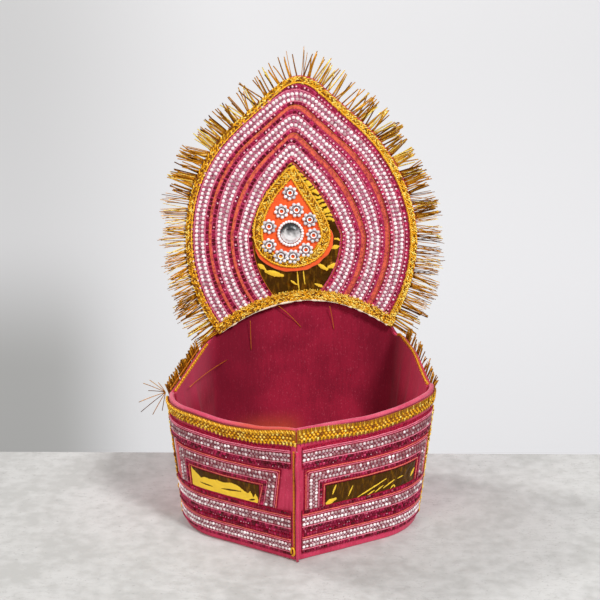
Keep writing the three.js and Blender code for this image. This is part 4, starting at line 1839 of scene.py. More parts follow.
@dataclass(frozen=True)
class BackBand:
    """The padded wall round the back, its lining, the cords on its edge and the threads that hang in it."""

    wall: float = 3.0
    gap: float = 0.3
    lining: float = 1.2
    lining_slack: float = 1.03
    lining_height: float = 0.136
    hem: float = 1.0
    start: float = 2.0
    cord_r: float = 0.9
    cord_run: Pair = (3.0, 70.0)
    cord_thin: Pair = (0.7, 1.0)
    hem_in: float = 4.0
    thread_off: Pair = (3.8, 0.6)
    folds: tuple[Fold, ...] = (
        Fold(Side.LEFT, 13, 7, 2.8),
        Fold(Side.LEFT, 34, 9, 3.2),
        Fold(Side.RIGHT, 14, 7, 2.6),
        Fold(Side.RIGHT, 32, 8, 2.8),
        Fold(Side.RIGHT, 50, 8, 1.6),
    )
    threads: tuple[LooseThread, ...] = (
        LooseThread(Side.LEFT, (17.0, 87), (86.6, 83)),
        LooseThread(Side.LEFT, (103.4, 112), (103.4, 89)),
        LooseThread(Side.LEFT, (120.2, 124), (137, 105)),
        LooseThread(Side.RIGHT, (119.7, 122), (116.7, 104)),
    )

    def fold_depth(self, flat_x: Array, up: Array) -> Array:
        """How far the lining's folds stand in at a place.

        Args:
            flat_x: Places along the wall from its middle.
            up: Shares of the wall's height.

        Returns:
            The depths in millimetres.
        """
        s = BACK.length - np.abs(flat_x)
        hang = 1 - up**4
        total = np.zeros_like(flat_x)
        for fold in self.folds:
            mine = (flat_x > 0) == (fold.side is Side.LEFT)
            swell = np.exp(-(((s - fold.at) / fold.half) ** 2) * 4)
            total += np.where(mine, fold.depth * swell * hang, 0)
        return total

    def wall_wrap(self, flat: Array) -> Array:
        """Wraps the wall's board; its heights are shares of a hundred of the wall's own height.

        Args:
            flat: Places on the board.

        Returns:
            Points in millimetres.
        """
        x = flat[..., 0]
        uneven = 0.25 * ripple(flat[..., :2], 40, 13)
        lift = flat[..., 2] + np.where(flat[..., 2] > -self.wall / 2, uneven, 0)
        return BACK.wrap(stack(x, flat[..., 1] / 100 * BACK.top(x), lift))

    def lining_wrap(self, flat: Array) -> Array:
        """Wraps the lining's sheet with its folds and creases.

        Args:
            flat: Places on the sheet.

        Returns:
            Points in millimetres.
        """
        x = flat[..., 0]
        up = np.clip(flat[..., 1] / 100, 0, 1)
        z = lerp(self.hem, BACK.top(x), up)
        crease = 0.5 * ripple(stack(x, 0.25 * z), 11, 21) * ease(0.35, 0.95, up)
        slack = 0.35 * ripple(stack(x, 0.3 * z), 34, 22)
        depth = self.fold_depth(x, up) + (crease + slack) * (1 - up**8)
        return BACK.wrap(stack(x, z, flat[..., 2] - np.maximum(depth, -0.2)))

    def build_wall(self) -> None:
        """Cuts the wall's board, rounds its edges and wraps it."""
        reach = BACK.length - self.gap
        board = Bench.board("padded_back_wall", (-reach, 0, -self.wall), (reach, 100, 0), (150, 40))
        padded(board, 0.8, self.wall_wrap, "back_wall")

    def build_lining(self) -> None:
        """Cuts the lining's sheet and hangs it inside the wall."""
        reach = BACK.length - self.start
        outer = -self.wall - self.gap
        sheet = Bench.board("folded_lining", (-reach, 0, outer - self.lining), (reach, 100, outer), (240, 56))
        Bench.smooth(Bench.wrap(sheet, self.lining_wrap))
        dressed(LINING_CLOTH.on(sheet), "lining_cloth", "back_lining")

    def build_cord(self, side: Side) -> None:
        """Twists the gold cord on the top edge of the wall.

        Args:
            side: The side.
        """
        s = np.linspace(*self.cord_run, 60)
        x = BACK.spot(side, s)
        inside = -self.wall - self.gap
        top = BACK.top(x) + self.gap + self.cord_r
        strip = Strip(Line(stack(x, top)), BACK.wrap)
        thin = side.of(self.cord_thin)
        plies = rope(strip, 0, inside, 0.5 * thin, 3.6)
        parts = [ORANGE_YARN.on(Yarn(0.55 * thin).laid("edge_plies", plies))]
        turns = np.linspace(0, 2 * math.pi, 9)[None, :]
        spots = strip.line.spaced(3.4)[:, None]
        chain = strip.wrap(stack(spots + 1.5 * np.cos(turns), 0.75 * np.sin(turns), inside - 0.5))
        parts.append(GOLD_YARN.on(Yarn(0.34, 5).laid("edge_chain", chain)))
        if side is Side.LEFT:
            outer = strip.wrap(stack(np.linspace(0, strip.line.length, 60), -0.9, -0.2))
            parts.append(ORANGE_YARN.on(Yarn(0.4, 5).laid("edge_thread", outer[None])))
        cord = Bench.join(f"twisted_edge_{side.label}", parts)
        dressed(cord, "gold_braid", f"edge_cord_{side.label}")

    def build_hem(self) -> None:
        """Sews the hem along the wall's top edge, outside."""
        reach = BACK.length - self.hem_in
        x = np.linspace(-reach, reach, 240)
        rng = hand(6)
        stitches = running_stitch(Line(stack(x, BACK.top(x) - self.hem_in)), BACK.wrap, 0.35, rng)
        dressed(PINK_THREAD.on(Yarn(0.24, 5).laid("wall_hem_stitches", stitches)), "pink_cloth")

    def build_threads(self) -> None:
        """Hangs the loose gold threads in front of the lining."""
        paths = []
        share = np.linspace(0, 1, 14)
        for thread in self.threads:
            s, z = np.array([thread.start, thread.end]).T
            x = BACK.spot(thread.side, s)
            off = -self.wall - self.gap - self.lining - np.array(self.thread_off)
            start, end = BACK.wrap(stack(x, z, off - self.fold_depth(x, z / BACK.top(x))))
            sag = stack(0, 0, 1.2 * np.sin(math.pi * share))
            paths.append(lerp(start, end, share[:, None]) + sag)
        threads = Yarn(0.23, 5).laid("loose_threads", np.array(paths))
        dressed(ORANGE_YARN.on(threads), "gold_braid")

    def build(self) -> None:
        """Builds the band's back."""
        self.build_wall()
        self.build_lining()
        for side in Side:
            self.build_cord(side)
        self.build_hem()
        self.build_threads()


# Stone galloons


class StoneKind(Enum):
    """The stones of a galloon, each with its finish."""

    CLEAR = CLEAR_STONE
    SMOKE = SMOKE_STONE
    GARNET = GARNET_STONE
    # pale stones that stand in for the garnets' highlights: painted highlights
    GLINT = GLINT_STONE


@dataclass(frozen=True)
class StoneRow:
    """A row of stones: which stone, its distance from the galloon's outer edge, pitch, shift and size."""

    kind: StoneKind
    across: float
    pitch: float
    shift: float = 0.0
    size: float = 1.0


@dataclass(frozen=True)
class ThreadRow:
    """A thread sewn along a galloon: its finish, how far it is from the outer edge and its thickness."""

    finish: Finish
    across: float
    radius: float


@dataclass(frozen=True)
class StoneTray:
    """The stones, each modelled once: a round clear one, a low smoky one, a square garnet and its glint."""

    clear_r: float = 1.4
    smoke_r: float = 0.95
    garnet: float = 2.05
    glint_r: float = 0.5

    @cached_property
    def forms(self) -> dict[StoneKind, Small]:
        """The form of each kind of stone: its facets, its radius, its girdle and its table.

        Returns:
            The forms by kind.
        """
        cuts = {
            StoneKind.CLEAR: (8, self.clear_r, ((0.45, 1.0), (1.05, 0.5))),
            StoneKind.SMOKE: (6, self.smoke_r, ((0.3, 1.0), (0.7, 0.45))),
            StoneKind.GARNET: (4, self.garnet / math.sqrt(2), ((0.5, 1.0), (0.95, 0.55))),
            StoneKind.GLINT: (5, self.glint_r, ((0.75, 1.0), (1.2, 0.5))),
        }
        return {kind: Small.cut(*cut, math.pi / cut[0]) for kind, cut in cuts.items()}


Tone = Callable[[StoneKind, Array, Hand], Array]
LineAt = Callable[[float], Line]


@dataclass(frozen=True)
class Galloon:
    """A trim of stone rows and threads on a strip of net."""

    stones: tuple[StoneRow, ...]
    threads: tuple[ThreadRow, ...]
    tray: StoneTray
    backing: Net
    base: float = 0.9

    def net(self, obj: Object, across: Array) -> Object:
        """Finishes a net, with a mark on its points that sit under the clear stones.

        Args:
            obj: The net.
            across: Distance of each point from the galloon's outer edge.

        Returns:
            The net.
        """
        clear = [row.across for row in self.stones if row.kind is StoneKind.CLEAR]
        low, high = min(clear), max(clear)
        under = ease(low - 2.0, low - 1.0, across) * ease(high + 2.0, high + 1.0, across)
        Bench.mark(obj, "tone", under)
        return self.backing.on(obj)

    def build(self, name: str, line_at: LineAt, form: Wrap, tone: Tone, seed: int) -> list[Object]:
        """Sets the stones and sews the threads.

        Args:
            name: The object's name.
            line_at: The line at a distance from the galloon's outer edge.
            form: The surface that it lies on.
            tone: The tone of each stone from its kind and place.
            seed: Seed for the hand work.

        Returns:
            The rows as objects.
        """
        rng = hand(seed)
        parts = []
        for row in self.stones:
            line = line_at(row.across)
            along = line.spaced(row.pitch, row.shift)
            along = along[along < line.length - 0.3 * row.pitch]
            along = along + rng.normal(0, 0.1, len(along))
            spots = line.at(along) + rng.normal(0, 0.1, (len(along), 2))
            tones = tone(row.kind, spots, rng)
            shown = tones >= 0
            along, spots, tones = along[shown], spots[shown], tones[shown]
            flat = np.concatenate([spots, np.full((len(along), 1), self.base)], axis=1)
            seats = Seats.on(form, flat, line.heading(along))
            seats = seats.turned(rng.normal(0, 0.12, len(along)))
            tilt = rng.normal(0, 0.1, (len(along), 3))
            axes = seats.axes + np.cross(tilt[:, None, :], seats.axes.transpose(0, 2, 1)).transpose(0, 2, 1)
            size = row.size * rng.normal(1, 0.05, len(along))
            seats = Seats(seats.origins, axes)
            stones = self.tray.forms[row.kind].copies(f"{name}_stones", seats, size, tones)
            parts.append(row.kind.value.on(stones))
        for thread in self.threads:
            line = line_at(thread.across)
            along = np.linspace(0, line.length, max(8, int(line.length / 2)))
            spots = line.at(along)
            wander = 0.12 * ripple(spots, 9, seed + 40)
            path = form(stack(spots[:, 0], spots[:, 1] + wander, self.base + 0.2))
            parts.append(thread.finish.on(Yarn(thread.radius, 6).laid(f"{name}_thread", path[None])))
        return parts


@dataclass(frozen=True)
class PanelRow:
    """A galloon along a panel: its upper edges left and right as heights at the ridge, width and margin."""

    name: str
    highs: Pair
    width: float = 14.4
    margin: float = 2.8


@dataclass(frozen=True)
class Crease:
    """A crease or patch of light on a foil: its two ends along and up it, and its half width."""

    start: Pair
    end: Pair
    half: float


def crease_light(along: Array, up: Array, creases: Sequence[Crease], ratio: float) -> Array:
    """How much light creases catch.

    Args:
        along: Places along the foil, as shares or in millimetres, as the creases have them.
        up: Places up it.
        creases: The creases.
        ratio: The foil's length over its height where the places are shares, or else 1.

    Returns:
        A number between 0 and 1 for each place.
    """
    light = np.zeros_like(along)
    spot = stack(along * ratio, up)
    for crease in creases:
        start = np.array([crease.start[0] * ratio, crease.start[1]])
        reach = np.array([crease.end[0] * ratio, crease.end[1]]) - start
        share = np.clip((spot - start) @ reach / max(float(reach @ reach), 1e-9), 0, 1)
        gap = np.linalg.norm(spot - start - share[..., None] * reach, axis=-1)
        taper = crease.half * (0.35 + 0.65 * np.sin(math.pi * np.clip(share, 0.08, 0.92)))
        light = np.maximum(light, ease(1.25, 0.3, gap / taper))
    return light


def crinkled(sheet: Object, glint: Array, crumple: Array, form: Wrap, node: str) -> None:
    """Raises the upper face of a foil in crumples, wraps it on a surface and dresses it.

    Args:
        sheet: The foil, still flat.
        glint: How much light each of its points catches.
        crumple: Height of the crumples at each point.
        form: The surface.
        node: The construction's node that it stands for.
    """
    x, y, lift = Bench.points(sheet).T
    Bench.mark(sheet, "glint", glint)
    Bench.move(sheet, stack(x, y, lift + np.where(lift > 0.5, crumple, 0)))
    Bench.smooth(Bench.wrap(sheet, form))
    dressed(LEAF_FOIL.on(sheet), "gold_foil", node)


@dataclass(frozen=True)
class PanelTrims:
    """The trims of the front panels: galloons, framed foil, lace and the braid on the side seams."""

    tray: StoneTray
    width: float = 14.4
    start: float = 3.6
    end: float = 10.0
    rows: tuple[PanelRow, ...] = (
        PanelRow("top", (82.9, 82.9), margin=1.5),
        PanelRow("lower", (34.0, 35.2)),
        PanelRow("bottom", (16.4, 18.0), 12.6),
    )
    frame_low: float = 37.6
    frame_high: float = 67.3
    frames: tuple[Pair, Pair] = ((12.0, 94.0), (5.0, 101.5))
    frame_slant: Pair = (1.8, 0.0)
    foil_margin: float = 0.6
    lace_low: float = 84.4
    lace_high: float = 95.5
    lace_start: float = 0.2
    lace_rise: Pair = (1.4, 2.4)
    lace_reach: float = 52.0
    lace_wide: tuple[tuple[float, ...], tuple[float, ...]] = ((1.45, 0.8, 0.7), (1.2, 0.92, 1.5))
    picot_pitch: float = 2.6
    picot_ends: Pair = (1.35, 0.35)
    picot_length: float = 4.4
    picot_flat: float = 0.7
    braid_in: float = 7.2
    braid_ends: Pair = (4.0, 84.0)
    braid_width: float = 3.2

    def galloon(self, row: PanelRow | None) -> Galloon:
        """The galloon of a straight row, or of the frames, from its upper or outer edge on.

        Args:
            row: The row, or None for the frames.

        Returns:
            The galloon.
        """
        foot = (
            StoneRow(StoneKind.GARNET, 13.1, 2.0, 0.5, 0.85),
            StoneRow(StoneKind.GLINT, 13.4, 2.0, 0.5, 0.8),
        )
        stones = (
            StoneRow(StoneKind.CLEAR, 4.4, 2.5, 0, 0.76),
            StoneRow(StoneKind.SMOKE, 6.2, 2.5, 0.5, 0.9),
            StoneRow(StoneKind.CLEAR, 8.0, 2.5, 0, 0.76),
            StoneRow(StoneKind.GARNET, 11.3, 2.0, 0, 0.85),
        )
        threads = (
            ThreadRow(PINK_THREAD if row and row.name == "top" else CORAL, 0.9, 0.36),
            ThreadRow(PINK_THREAD, 2.2, 0.3),
            ThreadRow(PINK_THREAD, 9.9, 0.32),
        )
        if row is None:
            return Galloon(stones, threads + (ThreadRow(CORAL, 13.4, 0.36),), self.tray, PANEL_NET)
        head = (StoneRow(StoneKind.GARNET, -1.3, 2.0, 0.5, 0.8),) if row.margin > 2 else ()
        kept = head + tuple(stone for stone in stones + foot if stone.across < row.width)
        return Galloon(kept, threads, self.tray, PANEL_NET)

    def row_tone(self, row: str, side: Side) -> Tone:
        """How bright the stones of a row are, as painted light and shade: dull high up, bright lower down.

        Args:
            row: The row's name.
            side: Its side.

        Returns:
            The tone of a stone from its kind and place.
        """

        def tone(kind: StoneKind, spots: Array, rng: Hand) -> Array:
            """Tones of some stones.

            Args:
                kind: The kind of stone.
                spots: Their places on the layout.
                rng: The hand that picks them.

            Returns:
                A tone for each stone, below zero where there is none.
            """
            s = np.abs(spots[:, 0])
            if kind is StoneKind.GARNET:
                return np.clip(rng.normal(0.3, 0.26, len(s)), 0, 1)
            # painted glints: pale stones set on some of the garnets
            if kind is StoneKind.GLINT:
                return np.where(rng.random(len(s)) < 0.3, rng.random(len(s)), -1)
            far = s / FRONT.length
            # painted light and shade: each row's tone near the ridge and at the panel's end
            ends = {
                ("top", Side.LEFT): (0.4, 0.0),
                ("frame", Side.LEFT): (0.2, 0.15),
                ("lower", Side.LEFT): (0.0, 1.05),
                ("bottom", Side.LEFT): (0.6, 0.75),
                ("top", Side.RIGHT): (0.5, -0.2),
                ("frame", Side.RIGHT): (0.5, -0.1),
                ("lower", Side.RIGHT): (0.9, 0.05),
                ("bottom", Side.RIGHT): (0.8, 0.65),
            }[row, side]
            # painted sparkles on a few stones, and a painted glint on one stone of the right frame
            spark = rng.random(len(s)) < 0.1
            lone_glint = (row, side) == ("frame", Side.RIGHT) and np.abs(s - 64) < 2.2
            share = lerp(*ends, far) + rng.normal(0, 0.24, len(s)) + 0.5 * spark + np.where(lone_glint, 1.0, 0.0)
            return np.clip(share, 0, 1)

        return tone

    def build_row(self, row: PanelRow, side: Side) -> None:
        """Sews a straight galloon on a panel.

        Args:
            row: The row.
            side: The side.
        """
        name = f"stone_row_{row.name}_{side.label}"
        ends = sorted((side.value * self.start, side.value * (FRONT.length - self.end)))
        high = side.of(row.highs)
        galloon = self.galloon(row)
        corners = (ends[0], high - row.width, 0.3), (ends[1], high + row.margin, 0.9)
        net = Bench.board(f"{name}_net", *corners, (60, 16))
        parts = [galloon.net(net, high - Bench.points(net)[:, 1])]
        Bench.wrap(net, FRONT.wrap)

        def line_at(across: float) -> Line:
            """The line at a distance below the galloon's upper edge."""
            return Line(np.array([[ends[0], high - across], [ends[1], high - across]]))

        seed = len(row.name) * 3 + side.value
        parts += galloon.build(name, line_at, FRONT.wrap, self.row_tone(row.name, side), seed)
        dressed(Bench.join(name, parts), "stone_galloon", f"galloon_{row.name}_{side.label}")

    def frame_line(self, side: Side, inset: float) -> Line:
        """The line of a frame: up the inner leg, along the top and down the outer leg.

        Args:
            side: The side.
            inset: Distance inside the frame's outer edge.

        Returns:
            The line.
        """
        start, end = side.of(self.frames)
        low, high = self.frame_low, self.frame_high - inset
        slant = side.of(self.frame_slant)
        start += inset
        corners = [(start + slant, low), (start - slant, high), (end - inset, high), (end - inset, low)]
        points = np.array(corners)
        points[:, 0] *= side.value
        return Line(points if side is Side.RIGHT else points[::-1])

    def build_frame(self, side: Side) -> None:
        """Sews the galloon that frames a foil window.

        Args:
            side: The side.
        """
        name = f"stone_frame_{side.label}"
        parts = []
        galloon = self.galloon(None)
        legs = [self.frame_line(side, inset).points for inset in (0, self.width)]
        for i in range(3):
            span = Between(Line(legs[0][i : i + 2]), Line(legs[1][i : i + 2]), FRONT.wrap)
            net = Bench.board(f"{name}_net", (0, 0, 0.5), (1, 1, 1.0), (40 if i == 1 else 8, 14))
            parts.append(galloon.net(net, self.width * Bench.points(net)[:, 1]))
            Bench.wrap(net, span.wrap)
        tone = self.row_tone("frame", side)
        parts += galloon.build(name, lambda inset: self.frame_line(side, inset), FRONT.wrap, tone, 5)
        dressed(Bench.join(name, parts), "stone_galloon", f"galloon_frame_{side.label}")

    def left_glint(self, along: Array, up: Array) -> Array:
        """Light on the left foil: bright below a jagged edge, with a few dark streaks.

        Args:
            along: Shares along the foil.
            up: Shares up the foil.

        Returns:
            A number between 0 and 1 for each place.
        """
        stops = (0, 0.05, 0.1, 0.16, 0.22, 0.3, 0.4, 0.5, 0.58, 0.68, 0.76, 0.84, 0.88, 0.92, 0.95, 1)
        edge = (1, 0.84, 0.74, 0.58, 0.68, 0.64, 0.72, 0.66, 0.76, 0.74, 0.56, 0.4, 0.56, 0.24, 0.5, 0.1)
        height = np.interp(along, stops, edge)
        lit = ease(0.09, -0.09, up - height)
        streaks = (
            Crease((0.14, 0.3), (0.32, 0.26), 0.05),
            Crease((0.46, 0.3), (0.74, 0.42), 0.06),
            Crease((0.86, 0.05), (0.94, 0.16), 0.06),
        )
        return lit * (1 - crease_light(along, up, streaks, 3.6))

    def right_glint(self, along: Array, up: Array) -> Array:
        """Light on the right foil: dark, with bright slanting creases.

        Args:
            along: Shares along the foil.
            up: Shares up the foil.

        Returns:
            A number between 0 and 1 for each place.
        """
        creases = (
            Crease((0.34, 0.02), (0.64, 0.62), 0.055),
            Crease((0.45, 0.0), (0.52, 0.16), 0.045),
            Crease((0.53, 0.05), (0.61, 0.3), 0.045),
            Crease((0.62, 0.16), (0.73, 0.44), 0.05),
            Crease((0.7, 0.03), (0.73, 0.18), 0.04),
            Crease((0.73, 0.18), (0.75, 0.02), 0.04),
            Crease((0.77, 0.46), (0.83, 0.5), 0.045),
            Crease((0.0, 0.04), (0.1, 0.2), 0.16),
            Crease((0.07, 0.5), (0.1, 0.95), 0.06),
            Crease((0.24, 0.2), (0.28, 0.7), 0.04),
            Crease((0.95, 0.3), (0.99, 0.6), 0.1),
        )
        return 0.04 + 0.96 * crease_light(along, up, creases, 4.6)

    def build_foil(self, side: Side) -> None:
        """Lays the crinkled foil in its window.

        Args:
            side: The side.
        """
        name = f"crinkled_foil_{side.label}"
        start, end = side.of(self.frames)
        inset = self.width + self.foil_margin
        ends = sorted((side.value * (start + inset), side.value * (end - inset)))
        low, high = self.frame_low + self.foil_margin, self.frame_high - inset
        sheet = Bench.board(name, (ends[0], low, 0.3), (ends[1], high, 0.7), (150, 44))
        flat = Bench.points(sheet)
        along = (flat[:, 0] - ends[0]) / (ends[1] - ends[0])
        up = (flat[:, 1] - low) / (high - low)
        glint = side.of((self.left_glint, self.right_glint))(along, up)
        crumple = 0.25 * np.abs(ripple(flat[:, :2], 9, 31)) + 0.2 * glint
        crinkled(sheet, glint, crumple, FRONT.wrap, f"front_foil_{side.label}")

    def picot(self) -> Small:
        """A pointed loop of lace, modelled once: a cone that lies along x and is pressed flat.

        Returns:
            The loop.
        """
        cone = bpy.ops.mesh.primitive_cone_add
        foot, tip = self.picot_ends
        obj = Bench.start("picot", cone, vertices=8, radius1=foot, radius2=tip, depth=self.picot_length)
        with Bench.editing(obj):
            bpy.ops.transform.translate(value=(0, 0, self.picot_length / 2))
            bpy.ops.transform.rotate(value=-math.pi / 2, orient_axis="Y", center_override=(0, 0, 0))
            bpy.ops.transform.resize(value=(1, 1, self.picot_flat), center_override=(0, 0, 0))
            bpy.ops.mesh.bevel(offset=0.3, segments=1, affect="EDGES")
        points = Bench.points(obj)
        if points[:, 0].mean() < 0:
            Bench.move(obj, points * np.array([-1.0, -1.0, 1.0]))
        return Small.taken(obj)

    def knot(self) -> Small:
        """A round knot of lace, modelled once.

        Returns:
            The knot.
        """
        obj = Bench.start("knot", bpy.ops.mesh.primitive_ico_sphere_add, subdivisions=1)
        with Bench.editing(obj):
            bpy.ops.transform.resize(value=(0.9, 0.9, 0.75), center_override=(0, 0, 0))
            bpy.ops.mesh.bevel(offset=0.12, segments=1, affect="EDGES")
        return Small.taken(obj)

    def lace_strip(self, side: Side) -> Tapered:
        """What the lace lies on: it climbs and widens towards the ridge.

        Args:
            side: The side.

        Returns:
            The strip.
        """
        near_wide, far_wide, fall = side.of(self.lace_wide)
        x = np.linspace(*sorted((side.value * self.lace_start, side.value * FRONT.length)), 90)
        rise = side.of(self.lace_rise)
        middle = (self.lace_low + self.lace_high) / 2
        lift = rise * ease(self.lace_reach, 4, np.abs(x)) + ease(30, 80, np.abs(x))
        line = Line(stack(x, middle + lift))

        def wide(along: Array) -> Array:
            """The lace's share of its full width."""
            far = np.abs(line.at(along)[..., 0]) / FRONT.length
            return lerp(near_wide, far_wide, far**fall)

        return Tapered(line, FRONT.wrap, wide)

    def build_lace(self, side: Side, picot: Small, knot: Small) -> None:
        """Sews the gold lace under the rim: ropes or knots with pointed loops above and below.

        Args:
            side: The side.
            picot: The pointed loop.
            knot: The round knot.
        """
        name = f"picot_lace_{side.label}"
        rng = hand(5 + side.value)
        strip = self.lace_strip(side)
        length = strip.line.length
        backing = Bench.board(f"{name}_net", (0, -4.0, 0.3), (length, 4.0, 0.8), (60, 4))
        parts = [GOLD_SHADOW.on(Bench.wrap(backing, strip.wrap))]
        rows = [(picot, 1.9, 1.0, 0.0, 0.66), (picot, -1.9, -1.0, 0.5, 0.7)]
        rows += [(knot, across, 1.0, shift, 1.15) for across, shift in ((-1.6, 0), (0.0, 0.5), (1.6, 0))]
        if side is Side.LEFT:
            plies = rope(strip, 2.9, 1.2, 0.55, 3.6)
            parts.append(BRAID.on(Yarn(0.6).laid(f"{name}_rope", plies, tone=np.array([0.3, 0.72]))))
            rows = rows[1:] + [(knot, -3.4, 1.0, 0.5, 1.0)]
        for small, across, heading, shift, size in rows:
            along = strip.line.spaced(self.picot_pitch, shift)
            along = along + rng.normal(0, 0.2, len(along))
            seats = Seats.on(strip.wrap, stack(along, across, 1.2), stack(0 * along, heading))
            near = 1 - np.abs(strip.line.at(along)[:, 0]) / FRONT.length
            tone = np.clip(rng.normal(lerp(0.46, 0.68, near), 0.24), 0, 1)
            copies = small.copies(f"{name}_loops", seats, size * lerp(0.75, 1.1, near), tone)
            parts.append(BRAID.on(Bench.smooth(copies, 50)))
        dressed(Bench.join(name, parts), "gold_braid", f"rim_lace_{side.label}")

    def build_side_braid(self, side: Side) -> None:
        """Sews the thin braid down a side seam.

        Args:
            side: The side.
        """
        x = side.value * (FRONT.length - self.braid_in)
        strip = Strip(Line(stack(x, np.array(self.braid_ends))), FRONT.wrap)
        braid = GoldBraid(self.braid_width, rows=1).build(f"seam_braid_{side.label}", strip, 0.25)
        dressed(braid, "gold_braid", f"side_braid_{side.label}")

    def build(self) -> None:
        """Builds the trims of both panels."""
        picot, knot = self.picot(), self.knot()
        for side in Side:
            for row in self.rows:
                self.build_row(row, side)
            self.build_frame(side)
            self.build_foil(side)
            self.build_lace(side, picot, knot)
            self.build_side_braid(side)


# The leaf


@dataclass(frozen=True)
class Leaf:
    """The stiff leaf with its braids, stone galloons, coral ribbons and foil; pairs are left and right."""

    tray: StoneTray
    thick: float = 3.0
    gap: float = 0.3
    braid: float = 4.8
    braid_insets: Pair = (1.7, 2.6)
    arch_width: float = 6.2
    arch_up: float = 3.4
    starts: Pair = (2.2, 6.0)
    pitches: Pair = (15.3, 17.0)
    ribbons: Pair = (13.4, 13.9)
    ribbon_ends: Pair = (15.1, 16.3)
    window: Pair = (46.2, 54.4)
    trims: tuple[str, ...] = ("outer", "middle", "inner")
    foil_lights: tuple[Crease, ...] = (
        Crease((-31.0, 153.0), (-27.0, 150.0), 2.2),
        Crease((-26.0, 148.0), (-14.0, 144.5), 2.6),
        Crease((11.0, 153.5), (18.0, 149.0), 1.7),
        Crease((19.0, 151.0), (26.0, 153.5), 2.4),
        Crease((20.5, 165.0), (26.5, 166.5), 1.9),
        Crease((-3.7, 149.0), (-2.2, 133.0), 0.6),
        Crease((0.8, 148.5), (2.1, 137.0), 0.6),
        Crease((-8.0, 141.0), (-4.0, 138.0), 1.0),
        Crease((9.5, 138.5), (15.5, 136.5), 1.3),
        Crease((23.0, 172.0), (28.0, 171.0), 0.9),
    )

    @property
    def galloon(self) -> Galloon:
        """The galloon of the leaf, from its outer edge in.

        Returns:
            The galloon.
        """
        stones = (
            StoneRow(StoneKind.GARNET, 1.3, 2.9, 0, 0.98),
            StoneRow(StoneKind.GLINT, 1.2, 2.9, 0.15, 1.5),
            StoneRow(StoneKind.CLEAR, 4.6, 3.0, 0.0, 0.9),
            StoneRow(StoneKind.SMOKE, 6.6, 3.0, 0.5),
            StoneRow(StoneKind.CLEAR, 8.6, 3.0, 0.0, 0.9),
            StoneRow(StoneKind.GARNET, 12.0, 2.9, 0, 0.98),
            StoneRow(StoneKind.GLINT, 11.5, 2.9, 0.15, 1.5),
        )
        threads = (
            ThreadRow(PINK_THREAD, 2.8, 0.3),
            ThreadRow(PINK_THREAD, 10.3, 0.34),
            ThreadRow(ORANGE_YARN, 13.3, 0.22),
        )
        return Galloon(stones, threads, self.tray, LEAF_NET)

    def inset(self, row: int, extra: float = 0.0) -> Pair:
        """Insets of a galloon's outer edge, and more by extra."""
        left, right = np.array(self.starts) + row * np.array(self.pitches) + extra
        return left, right

    def halves(self, outer: Pair, inner: Pair) -> list[Between]:
        """Ribbons up the two halves of the leaf between two insets."""
        return [Between(LEAF.half(side, outer), LEAF.half(side, inner), LEAF.wrap) for side in Side]

    def build_plate(self) -> None:
        """Cuts the leaf from board, rounds its edge and bends it to the back wall's curve."""
        outline = LEAF.closed(LEAF.outline(0, 0, 0.0), 0.0, 220, 60)
        plate = Bench.cut("leaf_board", outline, (-self.thick, 0), 26)
        padded(plate, 0.7, LEAF.wrap, "leaf_plate")

    def build_braids(self) -> None:
        """Sews the gold braid round the leaf and along its arched foot."""
        strip = Strip(Line(LEAF.outline(*self.braid_insets).points[::-1]), LEAF.wrap)
        braid = GoldBraid(self.braid, cords=(1.7,)).build("edge_braid", strip)
        dressed(braid, "gold_braid", "leaf_braid")
        x = np.linspace(*LEAF.outline(1, 1).points[[0, -1], 0], 120)
        strip = Strip(Line(stack(x, LEAF.arch(x) + self.arch_up)), LEAF.wrap)
        braid = GoldBraid(self.arch_width, rows=3).build("arch_chevrons", strip)
        rng = hand(1)
        along = np.linspace(0.06, 0.95, 260) * strip.line.length
        share = np.linspace(0, 1, 4)[None, :]
        lean = rng.normal(0, 0.9, (len(along), 1))
        height = rng.uniform(0.8, 2.6, (len(along), 1))
        tufts = strip.wrap(stack(along[:, None] + lean * share, 2.6 + height * share, 1.4 + 0.5 * share))
        tone = np.clip(rng.normal(0.72, 0.25, len(tufts)), 0, 1)
        parts = [braid, BRAID.on(Yarn(0.32, 4).laid("arch_tufts", tufts, tone=tone))]
        along = np.linspace(0.02, 0.98, 220) * strip.line.length
        spots = strip.line.at(along)
        shown = ease(-0.25, 0.5, ripple(spots, 16, 51)) * ease(30, 12, np.abs(spots[:, 0] + 8))
        shown = np.maximum(shown, 0.75 * ease(0.2, 0.8, ripple(spots, 7, 52)))
        selvedge = strip.wrap(stack(along, -3.5, 1.3))
        parts.append(CREAM.on(Yarn(0.75).laid("arch_selvedge", selvedge[None], (0.25 + shown)[None])))
        dressed(Bench.join("arch_braid_chevrons", parts), "gold_braid", "arch_braid")

    def stone_tone(self, kind: StoneKind, spots: Array, rng: Hand) -> Array:
        """Tones of the leaf's stones: mostly bright, with painted light on the right: garnets dark on the
        left and brighter on the right.

        Args:
            kind: The kind of stone.
            spots: Their places on the layout.
            rng: The hand that picks them.

        Returns:
            A tone for each stone, below zero where there is none.
        """
        count = len(spots)
        # painted light, stronger towards the right: brighter garnets and smoky stones, and more painted
        # glints
        painted_light_right = ease(-30, 45, spots[:, 0])
        if kind is StoneKind.GARNET:
            return np.clip(0.08 + 0.44 * painted_light_right + rng.normal(0, 0.24, count), 0, 1)
        if kind is StoneKind.GLINT:
            return np.where(rng.random(count) < 0.14 + 0.76 * painted_light_right, rng.random(count), -1)
        if kind is StoneKind.SMOKE:
            return np.clip(0.42 + 0.34 * painted_light_right + rng.normal(0, 0.25, count), 0, 1)
        dull = rng.random(count) < 0.08
        return np.clip(rng.normal(0.9, 0.14, count) - 0.5 * dull, 0, 1)

